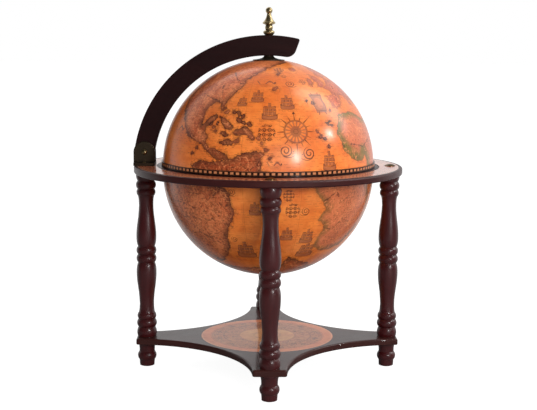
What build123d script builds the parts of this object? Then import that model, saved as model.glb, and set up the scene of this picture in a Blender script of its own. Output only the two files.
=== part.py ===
from build123d import *
from math import asin, cos, degrees, radians, sin, sqrt
import os

# Tabletop globe bar: a globe whose upper half lifts on a hinged meridian arm, over a rack in its lower
# half. Millimetres, +Z up. The origin is on the table under the globe's axis. The legs stand on the X and
# Y axes and the hinge is on -X.

# Stand
pad_thickness = 1.0
pad_radius = 9.0
foot_height = 38.0
shelf_thickness = 10.0
leg_length = 263.5
ring_thickness = 10.5
ring_reach = 45.0
ring_edge_round = 2.5
leg_inset = 18.0

# Globe
globe_radius = 165.0
shell_wall = 4.0
paper_thickness = 0.4
bowl_collar_height = 7.0
bowl_rim_width = 8.4
bowl_rim_thickness = 4.0
lid_gap = 0.4
band_height = 7.5
band_thickness = 2.0
lid_rim_height = 11.0
lid_rim_width = 5.0
pole_block_radius = 20.0
pole_block_thickness = 12.0

# Meridian arm and hinge
arm_width = 31.5
arm_thickness = 19.4
arm_clearance = 13.5
arm_shift = 1.2
arm_drop = 0.3
arm_overhang = 48.3
arm_end_slant = 3.4
arm_inner_corner = 15.0
arm_outer_corner = 3.0
arm_edge_round = 1.5
heel_gap = 0.75
open_angle = 95.0
stop_slack = 0.5
bracket_margin = 1.05
bracket_cheek = 2.5
bracket_cheek_round = 1.5
bracket_base = 4.5
bracket_foot_reach = 8.0
bracket_foot_corner = 4.0
stop_lip_width = 2.5
hinge_pin_radius = 3.0
hinge_head_radius = 4.5
hinge_head_height = 2.4

# Pole fittings
pole_bolt_radius = 3.0
pole_bolt_grip = 12.0
pole_bolt_tip = 1.5
pole_bolt_chamfer = 0.6
pole_nut_width = 10.0
pole_nut_height = 5.0
pole_washer_radius = 9.0
pole_washer_thickness = 1.5
flange_neck_radius = 7.5
flange_skirt_radius = 24.8
flange_skirt_edge = 1.0
flange_sweep = 1.6
finial_base_radius = 6.0
finial_flare_radius = 8.9
finial_flare_height = 4.2
finial_shoulder_height = 7.6
finial_waist_radius = 4.9
finial_waist_height = 15.4
finial_knop_radius = 6.0
finial_bell_radius = 9.8
finial_bell_height = 19.5
finial_bell_edge = 1.7
finial_neck_radius = 3.2
finial_neck_height = 33.4
finial_ball_radius = 5.3

# Rack in the bowl
floor_height = 56.0
floor_thickness = 5.0
rack_height = 113.0
rack_thickness = 8.0
bottle_well_radius = 44.0
glass_well_radius = 33.0
glass_count = 6
glass_circle_radius = 88.0
post_radius = 5.0
post_count = 3
post_circle_radius = 90.0

# Shelf
shelf_corner_reach = 15.5
shelf_corner_width = 50.0
shelf_print_margin = 8.0
shelf_top_round = 3.0
shelf_bottom_round = 1.5
shelf_corner_round = 4.0
shelf_print_radius = 105.0

# Ring print
ring_print_inner_margin = 1.2
ring_print_outer_margin = 6.0

# Turned leg, from either end to the middle
drum_length = 14.6
drum_radius = 15.6
drum_face_radius = 14.6
groove_radius = 13.2
bead_length = 12.9
bead_radius = 15.8
collar_length = 10.5
collar_radius = 15.0
cove_radius = 12.9
neck_radius = 11.5
neck_reach = 15.5
vase_radius = 15.8
vase_reach = 15.8

# Turned foot
foot_base_radius = 11.5
foot_bead_radius = 14.8
foot_bead_length = 13.5
foot_neck_radius = 12.1
foot_top_radius = 14.9
foot_top_thickness = 1.5
foot_base_length = 9.0

# Screws and caps
leg_screw_radius = 2.25
leg_screw_length = 40.0
leg_screw_head_radius = 4.5
leg_screw_head_height = 2.4
foot_dowel_radius = 3.0
foot_dowel_in_leg = 25.0
foot_dowel_in_foot = 22.0
cap_radius = 8.5
cap_height = 3.0
cap_edge_height = 0.6
cap_spigot_radius = 5.0
cap_spigot_length = 2.4
bracket_screw_radius = 1.5
bracket_screw_length = 8.0
bracket_screw_head_radius = 2.7
bracket_screw_head_height = 1.8
rack_screw_radius = 1.75
rack_screw_length = 20.0
rack_screw_head_radius = 3.5
rack_screw_head_height = 2.0

# Clearances
glue_gap = 0.1
thread_gap = 0.1
seat_gap = 0.2
running_gap = 0.05
turning_gap = 0.3
bolt_hole_clearance = 1.0
ring_bore_clearance = 2.0

# Plan: the ring reaches past the globe, and the legs stand in from its edge
ring_radius = globe_radius + ring_reach
leg_circle_radius = ring_radius - leg_inset
shelf_reach = leg_circle_radius + shelf_corner_reach
shelf_waist = shelf_print_radius + shelf_print_margin

# Levels
shelf_underside = pad_thickness + foot_height
shelf_top = shelf_underside + shelf_thickness
ring_underside = shelf_top + leg_length
ring_top = ring_underside + ring_thickness
bowl_centre = ring_top - bowl_collar_height
lid_centre = ring_top + lid_gap

# Globe radii, from the printed surface inwards
map_inner_radius = globe_radius - paper_thickness
shell_radius = map_inner_radius - glue_gap
shell_inner_radius = shell_radius - shell_wall
lining_radius = shell_inner_radius - glue_gap
lining_inner_radius = lining_radius - paper_thickness
bolt_hole_radius = pole_bolt_radius + bolt_hole_clearance

# Arm: a ring segment centred a little below and hingewards of the bowl's centre
arm_centre = bowl_centre - arm_drop
arm_centre_x = -arm_shift
arm_inner_radius = globe_radius + arm_clearance
arm_outer_radius = arm_inner_radius + arm_width
arm_middle_radius = (arm_inner_radius + arm_outer_radius) / 2
arm_underside = arm_centre + sqrt(arm_inner_radius**2 - (flange_neck_radius + arm_shift) ** 2)
finial_seat = arm_centre + sqrt(arm_outer_radius**2 - (finial_base_radius + arm_shift) ** 2)
pivot_rise = bracket_base + heel_gap + arm_width / 2
pivot_height = ring_top + pivot_rise
pivot_x = arm_centre_x - sqrt(arm_middle_radius**2 - (pivot_height - arm_centre) ** 2)
pivot_angle = degrees(asin((pivot_height - arm_centre) / arm_middle_radius))
arm_end_angle = degrees(asin((arm_overhang + arm_shift) / arm_outer_radius))
arm_slant_angle = degrees(arm_end_slant / arm_inner_radius)

leg_angles = {"right": 0, "back": 90, "left": 180, "front": 270}
cap_names = ["front", "right", "back"]

os.makedirs("parts", exist_ok=True)


def write(piece, name):
    piece.part.label = name
    export_step(piece.part, f"parts/{name}.step")


def leg_spot(name, height):
    angle = radians(leg_angles[name])
    return Vector(leg_circle_radius * cos(angle), leg_circle_radius * sin(angle), height)


def upright(spot):
    return Plane(origin=spot, x_dir=(1, 0, 0), z_dir=(0, -1, 0))


def dome_radius(base_radius, rise):
    return (base_radius**2 + rise**2) / (2 * rise)


# Felt pads
for name in leg_angles:
    with BuildPart() as pad:
        with BuildSketch(Plane(leg_spot(name, 0))):
            Circle(pad_radius)
        extrude(amount=pad_thickness)
    write(pad, f"pad_{name}")

# Turned feet, drilled for the dowels
foot_bead_start = foot_base_length
foot_bead_end = foot_bead_start + foot_bead_length
foot_cove_end = foot_height - foot_top_thickness
for name in leg_angles:
    spot = leg_spot(name, pad_thickness)
    with BuildPart() as foot:
        with BuildSketch(upright(spot)):
            with BuildLine():
                base = Line((0, 0), (foot_base_radius, 0))
                flank = Line(base @ 1, (foot_neck_radius, foot_bead_start))
                bead = ThreePointArc(
                    flank @ 1,
                    (foot_bead_radius, (foot_bead_start + foot_bead_end) / 2),
                    (foot_neck_radius, foot_bead_end),
                )
                cove = Bezier(
                    bead @ 1,
                    (foot_neck_radius, foot_cove_end - foot_top_thickness),
                    (foot_top_radius, foot_cove_end),
                )
                rim = Line(cove @ 1, (foot_top_radius, foot_height))
                top = Line(rim @ 1, (0, foot_height))
                Line(top @ 1, base @ 0)
            make_face()
        revolve(axis=Axis(spot, (0, 0, 1)))
        with Locations(Plane(spot + Vector(0, 0, foot_height))):
            Hole(foot_dowel_radius + thread_gap, foot_dowel_in_foot + 1)
    write(foot, f"foot_{name}")

# Shelf: a square with concave sides and flat corners over the feet
waist_point = shelf_waist / sqrt(2)
with BuildPart() as shelf:
    with BuildSketch(Plane.XY.offset(shelf_underside)):
        with BuildLine():
            for turn in range(4):
                corner = [
                    Vector(shelf_reach, -shelf_corner_width / 2).rotate(Axis.Z, 90 * turn),
                    Vector(shelf_reach, shelf_corner_width / 2).rotate(Axis.Z, 90 * turn),
                    Vector(waist_point, waist_point).rotate(Axis.Z, 90 * turn),
                    Vector(shelf_corner_width / 2, shelf_reach).rotate(Axis.Z, 90 * turn),
                ]
                Line(corner[0], corner[1])
                ThreePointArc(corner[1], corner[2], corner[3])
        make_face()
        fillet(vertices(), shelf_corner_round)
    extrude(amount=shelf_thickness)
    fillet(shelf.faces().sort_by(Axis.Z)[-1].edges(), shelf_top_round)
    fillet(shelf.faces().sort_by(Axis.Z)[0].edges(), shelf_bottom_round)
    with BuildSketch(Plane.XY.offset(shelf_top)):
        Circle(shelf_print_radius + glue_gap)
    extrude(amount=-paper_thickness, mode=Mode.SUBTRACT)
    with Locations(Plane.XY.offset(shelf_top)):
        with PolarLocations(leg_circle_radius, len(leg_angles)):
            Hole(foot_dowel_radius + thread_gap, shelf_thickness)
write(shelf, "shelf")

with BuildPart() as shelf_print:
    with BuildSketch(Plane.XY.offset(shelf_top - paper_thickness)):
        Circle(shelf_print_radius)
    extrude(amount=paper_thickness)
write(shelf_print, "shelf_print")

# Dowels, threaded at both ends, through the shelf into foot and leg
with BuildPart() as foot_dowels:
    with BuildSketch(Plane.XY.offset(shelf_underside - foot_dowel_in_foot)):
        with PolarLocations(leg_circle_radius, len(leg_angles)):
            Circle(foot_dowel_radius)
    extrude(amount=foot_dowel_in_foot + shelf_thickness + foot_dowel_in_leg)
write(foot_dowels, "foot_dowels")

# Turned legs: drum, two beads, a long vase and a bead, mirrored about the middle. The vase takes up
# what the drum and the beads leave of the length.
half_leg = leg_length / 2
drum_end = half_leg - drum_length
bead_end = drum_end - bead_length
collar_end = bead_end - collar_length
vase_end = bead_length
for name in leg_angles:
    middle = leg_spot(name, shelf_top + half_leg)
    with BuildPart() as leg:
        with BuildSketch(upright(middle)):
            with BuildLine():
                end = Line((0, half_leg), (drum_face_radius, half_leg))
                drum = ThreePointArc(
                    end @ 1, (drum_radius, (half_leg + drum_end) / 2), (groove_radius, drum_end)
                )
                outer_bead = ThreePointArc(
                    drum @ 1, (bead_radius, (drum_end + bead_end) / 2), (groove_radius, bead_end)
                )
                collar = ThreePointArc(
                    outer_bead @ 1, (collar_radius, (bead_end + collar_end) / 2), (cove_radius, collar_end)
                )
                vase = Spline(
                    collar @ 1,
                    (neck_radius, collar_end - neck_reach),
                    (vase_radius, vase_end + vase_reach),
                    (groove_radius, vase_end),
                    tangents=((-1, -3), (0, -1), (0, -1), (-1, -2)),
                )
                ThreePointArc(vase @ 1, (bead_radius, vase_end / 2), (groove_radius, 0))
                mirror(about=Plane.XZ)
                Line((0, half_leg), (0, -half_leg))
            make_face()
        revolve(axis=Axis(middle, (0, 0, 1)))
        with Locations(Plane(middle + Vector(0, 0, half_leg))):
            Hole(leg_screw_radius + thread_gap, leg_screw_length)
        with Locations(Plane(middle - Vector(0, 0, half_leg), z_dir=(0, 0, -1))):
            Hole(foot_dowel_radius + thread_gap, foot_dowel_in_leg + 1)
    write(leg, f"leg_{name}")

# Ring: rebated for the bowl's rim, recessed for the print, counterbored over each leg
ring_bore_radius = globe_radius + ring_bore_clearance
rebate_radius = shell_radius + bowl_rim_width + glue_gap + seat_gap
print_inner_radius = rebate_radius + ring_print_inner_margin
print_outer_radius = ring_radius - ring_print_outer_margin
bracket_screw_reach = arm_thickness / 2 + bracket_cheek + turning_gap + bracket_foot_reach / 2
counterbore_depth = leg_screw_head_height + cap_spigot_length + seat_gap
bracket_screw_spots = [(pivot_x, -bracket_screw_reach), (pivot_x, bracket_screw_reach)]
with BuildPart() as ring:
    with BuildSketch(Plane.XY.offset(ring_underside)):
        Circle(ring_radius)
        Circle(ring_bore_radius, mode=Mode.SUBTRACT)
    extrude(amount=ring_thickness)
    outer_edges = ring.edges().filter_by(GeomType.CIRCLE).group_by(lambda edge: edge.radius)[-1]
    fillet(outer_edges, ring_edge_round)
    with BuildSketch(Plane.XY.offset(ring_top)):
        Circle(rebate_radius)
    extrude(amount=-(bowl_rim_thickness + seat_gap), mode=Mode.SUBTRACT)
    with BuildSketch(Plane.XY.offset(ring_top)):
        Circle(print_outer_radius + glue_gap)
        Circle(print_inner_radius - glue_gap, mode=Mode.SUBTRACT)
    extrude(amount=-paper_thickness, mode=Mode.SUBTRACT)
    with Locations(Plane.XY.offset(ring_top)):
        with PolarLocations(leg_circle_radius, len(leg_angles)):
            CounterBoreHole(
                leg_screw_radius + thread_gap,
                cap_spigot_radius + thread_gap,
                counterbore_depth,
                ring_thickness,
            )
        with Locations(*bracket_screw_spots):
            Hole(bracket_screw_radius + thread_gap, bracket_screw_length + thread_gap)
write(ring, "ring")

with BuildPart() as ring_print:
    with BuildSketch(Plane.XY.offset(ring_top - paper_thickness)):
        Circle(print_outer_radius)
        Circle(print_inner_radius, mode=Mode.SUBTRACT)
        with PolarLocations(leg_circle_radius, len(leg_angles)):
            Circle(cap_spigot_radius + thread_gap, mode=Mode.SUBTRACT)
        with Locations(*bracket_screw_spots):
            Circle(bracket_screw_radius + thread_gap, mode=Mode.SUBTRACT)
    extrude(amount=paper_thickness)
write(ring_print, "ring_print")

# Screws from the ring down into the legs
leg_screw_seat = ring_top - counterbore_depth
with BuildPart() as leg_screws:
    with BuildSketch(Plane.XY.offset(leg_screw_seat)):
        with PolarLocations(leg_circle_radius, len(leg_angles)):
            Circle(leg_screw_head_radius)
    extrude(amount=leg_screw_head_height)
    with BuildSketch(Plane.XY.offset(leg_screw_seat)):
        with PolarLocations(leg_circle_radius, len(leg_angles)):
            Circle(leg_screw_radius)
    extrude(amount=-leg_screw_length)
write(leg_screws, "leg_screws")

# Domed brass caps plugged into the counterbores; the bracket covers the one on the left
for name in cap_names:
    spot = leg_spot(name, ring_top)
    with BuildPart() as cap:
        with BuildSketch(upright(spot)):
            with BuildLine():
                spigot = Polyline(
                    (0, -cap_spigot_length),
                    (cap_spigot_radius, -cap_spigot_length),
                    (cap_spigot_radius, 0),
                    (cap_radius, 0),
                    (cap_radius, cap_edge_height),
                )
                rise = cap_height - cap_edge_height
                dome = RadiusArc(spigot @ 1, (0, cap_height), -dome_radius(cap_radius, rise))
                Line(dome @ 1, spigot @ 0)
            make_face()
        revolve(axis=Axis(spot, (0, 0, 1)))
    write(cap, f"cap_{name}")

# Bowl: a hemispherical shell with a straight collar, a map skin outside and a lining inside
bowl_map_top = ring_top - bowl_rim_thickness - glue_gap
bowl_skins = {
    "bowl": (shell_radius, shell_inner_radius, ring_top),
    "bowl_map": (globe_radius, map_inner_radius, bowl_map_top),
    "bowl_lining": (lining_radius, lining_inner_radius, ring_top),
}
for name, (outer, inner, top) in bowl_skins.items():
    with BuildPart() as skin:
        with BuildSketch(Plane.XZ):
            with Locations((0, bowl_centre)):
                Circle(outer)
                Rectangle(outer, outer, align=(Align.MIN, Align.MAX), mode=Mode.INTERSECT)
                Circle(inner, mode=Mode.SUBTRACT)
            with Locations((inner, bowl_centre)):
                Rectangle(outer - inner, top - bowl_centre, align=Align.MIN)
        revolve(axis=Axis.Z)
    write(skin, name)

# Hoop round the bowl's mouth, which hangs in the ring's rebate
with BuildPart() as bowl_rim:
    with BuildSketch(Plane.XY.offset(ring_top - bowl_rim_thickness)):
        Circle(shell_radius + glue_gap + bowl_rim_width)
        Circle(shell_radius + glue_gap, mode=Mode.SUBTRACT)
    extrude(amount=bowl_rim_thickness)
write(bowl_rim, "bowl_rim")

# Rack: a floor plate and a rack plate whose edges follow the bowl, joined by posts
bowl_bottom = bowl_centre - globe_radius
floor_top = bowl_bottom + floor_height
rack_top = bowl_bottom + rack_height
rack_underside = rack_top - rack_thickness
floor_underside = floor_top - floor_thickness
plate_edge_radius = lining_inner_radius - seat_gap
post_angles = [180 / glass_count + 360 / post_count * number for number in range(post_count)]
post_spots = [Vector(post_circle_radius, 0).rotate(Axis.Z, angle) for angle in post_angles]
# name: (underside, thickness, height of the screw heads' outer face, way the screws point)
plates = {
    "floor_plate": (floor_underside, floor_thickness, floor_underside, 1),
    "rack_plate": (rack_underside, rack_thickness, rack_top, -1),
}
for name, (underside, thickness, screw_face, way) in plates.items():
    with BuildPart() as plate:
        with BuildSketch(Plane.XZ):
            with Locations((0, bowl_centre)):
                Circle(plate_edge_radius)
            with Locations((0, underside)):
                Rectangle(globe_radius, thickness, align=Align.MIN, mode=Mode.INTERSECT)
        revolve(axis=Axis.Z)
        if name == "rack_plate":
            with Locations(Plane.XY.offset(rack_top)):
                Hole(bottle_well_radius, thickness)
                with PolarLocations(glass_circle_radius, glass_count):
                    Hole(glass_well_radius, thickness)
        with BuildSketch(Plane.XY.offset(screw_face)):
            with Locations(*post_spots):
                Circle(rack_screw_head_radius + thread_gap)
        extrude(amount=way * rack_screw_head_height, mode=Mode.SUBTRACT)
        with BuildSketch(Plane.XY.offset(screw_face)):
            with Locations(*post_spots):
                Circle(rack_screw_radius + thread_gap)
        extrude(amount=way * thickness, mode=Mode.SUBTRACT)
    write(plate, name)

for number, spot in enumerate(post_spots, 1):
    with BuildPart() as post:
        with BuildSketch(Plane.XY.offset(floor_top)):
            with Locations(spot):
                Circle(post_radius)
                Circle(rack_screw_radius + thread_gap, mode=Mode.SUBTRACT)
        extrude(amount=rack_underside - floor_top)
    write(post, f"rack_post_{number}")

with BuildPart() as rack_screws:
    for underside, thickness, screw_face, way in plates.values():
        with BuildSketch(Plane.XY.offset(screw_face)):
            with Locations(*post_spots):
                Circle(rack_screw_head_radius)
        extrude(amount=way * rack_screw_head_height)
        with BuildSketch(Plane.XY.offset(screw_face)):
            with Locations(*post_spots):
                Circle(rack_screw_radius)
        extrude(amount=way * rack_screw_length)
write(rack_screws, "rack_screws")

# Hinge bracket: a clevis with a foot that reaches past its cheeks and a lip that stops the open arm.
# The lip's height is where the arm's outer edge lies at the open angle.
slot_width = arm_thickness + 2 * turning_gap
bracket_depth = slot_width + 2 * bracket_cheek
bracket_width = arm_width + 2 * bracket_margin
bracket_left = pivot_x - bracket_width / 2
open_tilt = radians(open_angle + stop_slack - pivot_angle)
open_centre_x = pivot_x + arm_middle_radius * cos(open_tilt)
open_centre_height = pivot_height + arm_middle_radius * sin(open_tilt)
open_edge_height = open_centre_height - sqrt(arm_outer_radius**2 - (bracket_left - open_centre_x) ** 2)
stop_lip_top = open_edge_height - turning_gap
with BuildPart() as hinge_bracket:
    with BuildSketch(Plane.XZ):
        with Locations((pivot_x, ring_top)):
            Rectangle(bracket_width, pivot_rise, align=(Align.CENTER, Align.MIN))
        with Locations((pivot_x, pivot_height)):
            Circle(bracket_width / 2)
            Circle(hinge_pin_radius + running_gap, mode=Mode.SUBTRACT)
    extrude(amount=bracket_depth / 2, both=True)
    with BuildSketch(Plane.XZ):
        with Locations((pivot_x, ring_top + bracket_base)):
            Rectangle(bracket_width, 2 * bracket_width, align=(Align.CENTER, Align.MIN))
    extrude(amount=slot_width / 2, both=True, mode=Mode.SUBTRACT)
    cheek_faces = hinge_bracket.faces().filter_by(Axis.Y).sort_by(Axis.Y)
    outer_edges = cheek_faces[0].outer_wire().edges() + cheek_faces[-1].outer_wire().edges()
    fillet(outer_edges.sort_by(Axis.Z)[2:], bracket_cheek_round)
    with BuildSketch(Plane.XY.offset(ring_top)):
        with Locations((pivot_x, 0)):
            RectangleRounded(
                bracket_width, bracket_depth + 2 * bracket_foot_reach, bracket_foot_corner
            )
    extrude(amount=bracket_base)
    with BuildSketch(Plane.XZ):
        with Locations((bracket_left, ring_top)):
            Rectangle(stop_lip_width, stop_lip_top - ring_top, align=Align.MIN)
    extrude(amount=slot_width / 2, both=True)
    with Locations(Plane.XY.offset(ring_top + bracket_base)):
        with Locations(*bracket_screw_spots):
            Hole(bracket_screw_radius + thread_gap, bracket_base)
write(hinge_bracket, "hinge_bracket")

with BuildPart() as bracket_screws:
    for spot in bracket_screw_spots:
        with BuildSketch(upright(Vector(*spot, ring_top + bracket_base))):
            with BuildLine():
                shank = Polyline(
                    (0, -bracket_screw_length),
                    (bracket_screw_radius, -bracket_screw_length),
                    (bracket_screw_radius, 0),
                    (bracket_screw_head_radius, 0),
                )
                curve = dome_radius(bracket_screw_head_radius, bracket_screw_head_height)
                dome = RadiusArc(shank @ 1, (0, bracket_screw_head_height), -curve)
                Line(dome @ 1, shank @ 0)
            make_face()
        revolve(axis=Axis(Vector(*spot, 0), (0, 0, 1)))
write(bracket_screws, "bracket_screws")

# Hinge pin: a shank through both cheeks and the arm, a domed head in front and a domed nut behind
pin_axis = Axis((pivot_x, 0, pivot_height), (0, 1, 0))
pin_plane = Plane(origin=(pivot_x, 0, pivot_height), x_dir=(1, 0, 0), z_dir=(0, 0, -1))
head_face = bracket_depth / 2
head_top = head_face + hinge_head_height
head_curve = dome_radius(hinge_head_radius, hinge_head_height)
pin_tip = head_face + hinge_head_height / 2
with BuildPart() as hinge_pin:
    with BuildSketch(pin_plane):
        with BuildLine():
            head = RadiusArc((hinge_head_radius, head_face), (0, head_top), -head_curve)
            shank = Polyline(
                head @ 0,
                (hinge_pin_radius, head_face),
                (hinge_pin_radius, -pin_tip),
                (0, -pin_tip),
            )
            Line(shank @ 1, head @ 1)
        make_face()
    revolve(axis=pin_axis)
write(hinge_pin, "hinge_pin")

with BuildPart() as hinge_nut:
    with BuildSketch(pin_plane):
        with BuildLine():
            dome = RadiusArc((hinge_head_radius, -head_face), (0, -head_top), head_curve)
            bore = Polyline(
                dome @ 0,
                (hinge_pin_radius + thread_gap, -head_face),
                (hinge_pin_radius + thread_gap, -pin_tip - thread_gap),
                (0, -pin_tip - thread_gap),
            )
            Line(bore @ 1, dome @ 1)
        make_face()
    revolve(axis=pin_axis)
write(hinge_nut, "hinge_nut")

# Meridian arm: from its round heel on the hinge pin, over the lid, to just past the pole
arm_sweep = 90 + arm_end_angle - pivot_angle
with BuildPart() as meridian_arm:
    with BuildSketch(Plane.XZ) as arm_outline:
        with BuildLine():
            outer = CenterArc((arm_centre_x, arm_centre), arm_outer_radius, 90 - arm_end_angle, arm_sweep)
            inner = CenterArc(
                (arm_centre_x, arm_centre),
                arm_inner_radius,
                90 - arm_end_angle + arm_slant_angle,
                arm_sweep - arm_slant_angle,
            )
            Line(outer @ 0, inner @ 0)
            Line(outer @ 1, inner @ 1)
        make_face()
        fillet(arm_outline.vertices().sort_by(Axis.X)[-2], arm_inner_corner)
        fillet(arm_outline.vertices().sort_by(Axis.X)[-1], arm_outer_corner)
        with Locations((pivot_x, pivot_height)):
            Circle(arm_width / 2)
    extrude(amount=arm_thickness / 2, both=True)
    front_and_back = meridian_arm.faces().filter_by(Axis.Y)
    fillet(front_and_back.edges(), arm_edge_round)
    with Locations(upright(Vector(pivot_x, 0, pivot_height))):
        Hole(hinge_pin_radius + running_gap, arm_thickness)
    with Locations(Plane.XY.offset(finial_seat)):
        Hole(pole_bolt_radius + running_gap, 2 * arm_width)
    with BuildSketch(Plane.XY.offset(finial_seat)):
        Circle(finial_base_radius + thread_gap)
    extrude(amount=arm_width, mode=Mode.SUBTRACT)
write(meridian_arm, "meridian_arm")

# Finial: a flared base, a knop, a bell that draws in to a neck, and a ball
finial_ball_height = finial_neck_height + sqrt(finial_ball_radius**2 - finial_neck_radius**2)
with BuildPart() as finial:
    with BuildSketch(upright(Vector(0, 0, finial_seat))):
        with BuildLine():
            foot = Line((0, 0), (finial_base_radius, 0))
            flare = Spline(
                foot @ 1,
                (finial_flare_radius, finial_flare_height),
                (finial_waist_radius, finial_shoulder_height),
                tangents=((1, 1), (0, 1), (-1, 0.2)),
            )
            knop = ThreePointArc(
                flare @ 1,
                (finial_knop_radius, (finial_shoulder_height + finial_waist_height) / 2),
                (finial_waist_radius, finial_waist_height),
            )
            lip = Line(knop @ 1, (finial_bell_radius, finial_bell_height - finial_bell_edge))
            edge = Line(lip @ 1, (finial_bell_radius, finial_bell_height))
            bell = Spline(
                edge @ 1,
                (finial_neck_radius, finial_neck_height),
                tangents=((-1, 0.8), (-0.1, 1)),
            )
            ball = ThreePointArc(
                bell @ 1,
                (finial_ball_radius, finial_ball_height),
                (0, finial_ball_height + finial_ball_radius),
            )
            Line(ball @ 1, foot @ 0)
        make_face()
    revolve(axis=Axis.Z)
    with Locations(Plane.XY.offset(finial_seat)):
        Hole(pole_bolt_radius + thread_gap, pole_bolt_grip + pole_bolt_tip)
write(finial, "finial")

# Pole flange: a trumpet from the arm's underside to a thin skirt that clears the lid
skirt_sphere = globe_radius + turning_gap
bolt_bore = pole_bolt_radius + running_gap
skirt_underside = lid_centre + sqrt(skirt_sphere**2 - flange_skirt_radius**2)
skirt_top = skirt_underside + flange_skirt_edge
with BuildPart() as pole_flange:
    with BuildSketch(Plane.XZ):
        with BuildLine():
            neck = Line((bolt_bore, arm_underside), (flange_neck_radius, arm_underside))
            trumpet = Bezier(
                neck @ 1, (flange_neck_radius, skirt_top + flange_sweep), (flange_skirt_radius, skirt_top)
            )
            edge = Line(trumpet @ 1, (flange_skirt_radius, skirt_underside))
            under = RadiusArc(
                edge @ 1, (bolt_bore, lid_centre + sqrt(skirt_sphere**2 - bolt_bore**2)), -skirt_sphere
            )
            Line(under @ 1, neck @ 0)
        make_face()
    revolve(axis=Axis.Z)
write(pole_flange, "pole_flange")

# Pole bolt, with the nut and washer that the lid's block hangs on
block_underside = lid_centre + lining_inner_radius - glue_gap - pole_block_thickness
washer_top = block_underside - turning_gap
nut_top_height = washer_top - pole_washer_thickness
bolt_bottom = nut_top_height - pole_nut_height - pole_bolt_tip
with BuildPart() as pole_bolt:
    with BuildSketch(Plane.XY.offset(bolt_bottom)):
        Circle(pole_bolt_radius)
    extrude(amount=finial_seat + pole_bolt_grip - bolt_bottom)
    chamfer(pole_bolt.faces().sort_by(Axis.Z)[0].edges(), pole_bolt_chamfer)
write(pole_bolt, "pole_bolt")

with BuildPart() as pole_washer:
    with BuildSketch(Plane.XY.offset(washer_top)):
        Circle(pole_washer_radius)
        Circle(pole_bolt_radius + thread_gap, mode=Mode.SUBTRACT)
    extrude(amount=-pole_washer_thickness)
write(pole_washer, "pole_washer")

with BuildPart() as pole_nut:
    with BuildSketch(Plane.XY.offset(nut_top_height)):
        RegularPolygon(pole_nut_width / 2, 6, major_radius=False)
        Circle(pole_bolt_radius + thread_gap, mode=Mode.SUBTRACT)
    extrude(amount=-pole_nut_height)
write(pole_nut, "pole_nut")

# Lid: a hemispherical shell with a hole at the pole. The map skin stops above the band and the lining
# above the inner hoop. Each is a ring of the sphere's section, cut off below its lowest height.
lid_skins = {
    "lid": (shell_radius, shell_inner_radius, lid_centre),
    "lid_map": (globe_radius, map_inner_radius, lid_centre + band_height + glue_gap),
    "lid_lining": (lining_radius, lining_inner_radius, lid_centre + lid_rim_height + glue_gap),
}
for name, (outer, inner, lowest) in lid_skins.items():
    with BuildPart() as skin:
        with BuildSketch(Plane.XZ):
            with Locations((0, lid_centre)):
                Circle(outer)
                Circle(inner, mode=Mode.SUBTRACT)
            with Locations((bolt_hole_radius, lowest)):
                Rectangle(outer, outer, align=Align.MIN, mode=Mode.INTERSECT)
        revolve(axis=Axis.Z)
    write(skin, name)

# Equator band round the lid's edge
with BuildPart() as lid_band:
    with BuildSketch(Plane.XZ):
        with Locations((shell_inner_radius, lid_centre)):
            Rectangle(globe_radius + band_thickness - shell_inner_radius, band_height, align=Align.MIN)
        with Locations((0, lid_centre)):
            Circle(map_inner_radius, mode=Mode.SUBTRACT)
    revolve(axis=Axis.Z)
write(lid_band, "lid_band")

# Hoop inside the lid's edge
with BuildPart() as lid_rim:
    with BuildSketch(Plane.XZ):
        with Locations((0, lid_centre)):
            Circle(lining_radius)
        with Locations((shell_inner_radius - lid_rim_width, lid_centre)):
            Rectangle(globe_radius, lid_rim_height, align=Align.MIN, mode=Mode.INTERSECT)
    revolve(axis=Axis.Z)
write(lid_rim, "lid_rim")

# Block inside the lid at the pole, which turns on the bolt
with BuildPart() as pole_block:
    with BuildSketch(Plane.XZ):
        with Locations((0, lid_centre)):
            Circle(lining_inner_radius - glue_gap)
        with Locations((bolt_bore, block_underside)):
            Rectangle(
                pole_block_radius - bolt_bore, globe_radius, align=Align.MIN, mode=Mode.INTERSECT
            )
    revolve(axis=Axis.Z)
write(pole_block, "pole_block")
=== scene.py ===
# Tabletop globe bar: printed maps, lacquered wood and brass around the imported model
from functools import reduce
from math import cos, degrees, hypot, pi, radians, sin, sqrt

import bpy
import numpy as np
from mathutils import Matrix, Vector


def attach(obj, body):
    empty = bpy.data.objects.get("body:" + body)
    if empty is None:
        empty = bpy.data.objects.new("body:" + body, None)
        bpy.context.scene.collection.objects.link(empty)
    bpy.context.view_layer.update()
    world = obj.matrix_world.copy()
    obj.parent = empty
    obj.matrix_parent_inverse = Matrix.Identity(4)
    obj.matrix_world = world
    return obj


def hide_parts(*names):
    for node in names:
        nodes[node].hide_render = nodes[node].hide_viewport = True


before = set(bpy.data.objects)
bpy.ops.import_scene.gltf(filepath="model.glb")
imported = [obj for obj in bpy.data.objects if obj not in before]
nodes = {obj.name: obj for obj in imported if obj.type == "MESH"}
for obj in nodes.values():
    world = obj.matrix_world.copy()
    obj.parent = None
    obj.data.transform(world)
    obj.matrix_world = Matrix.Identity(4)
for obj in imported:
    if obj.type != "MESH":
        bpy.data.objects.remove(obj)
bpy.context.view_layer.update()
millimetre = 0.001
print("frame loaded:", len(nodes), "nodes")

camera = {
    "place": (-0.0400, -1.8922, 0.5271), "furthest": 50, "lens": 81.08,
    "heading": 1.242, "downwards": 8.042, "roll": 0.373,
}


def addToScene(name, data):
    thing = bpy.data.objects.new(name, data)
    bpy.context.scene.collection.objects.link(thing)
    return thing


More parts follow.
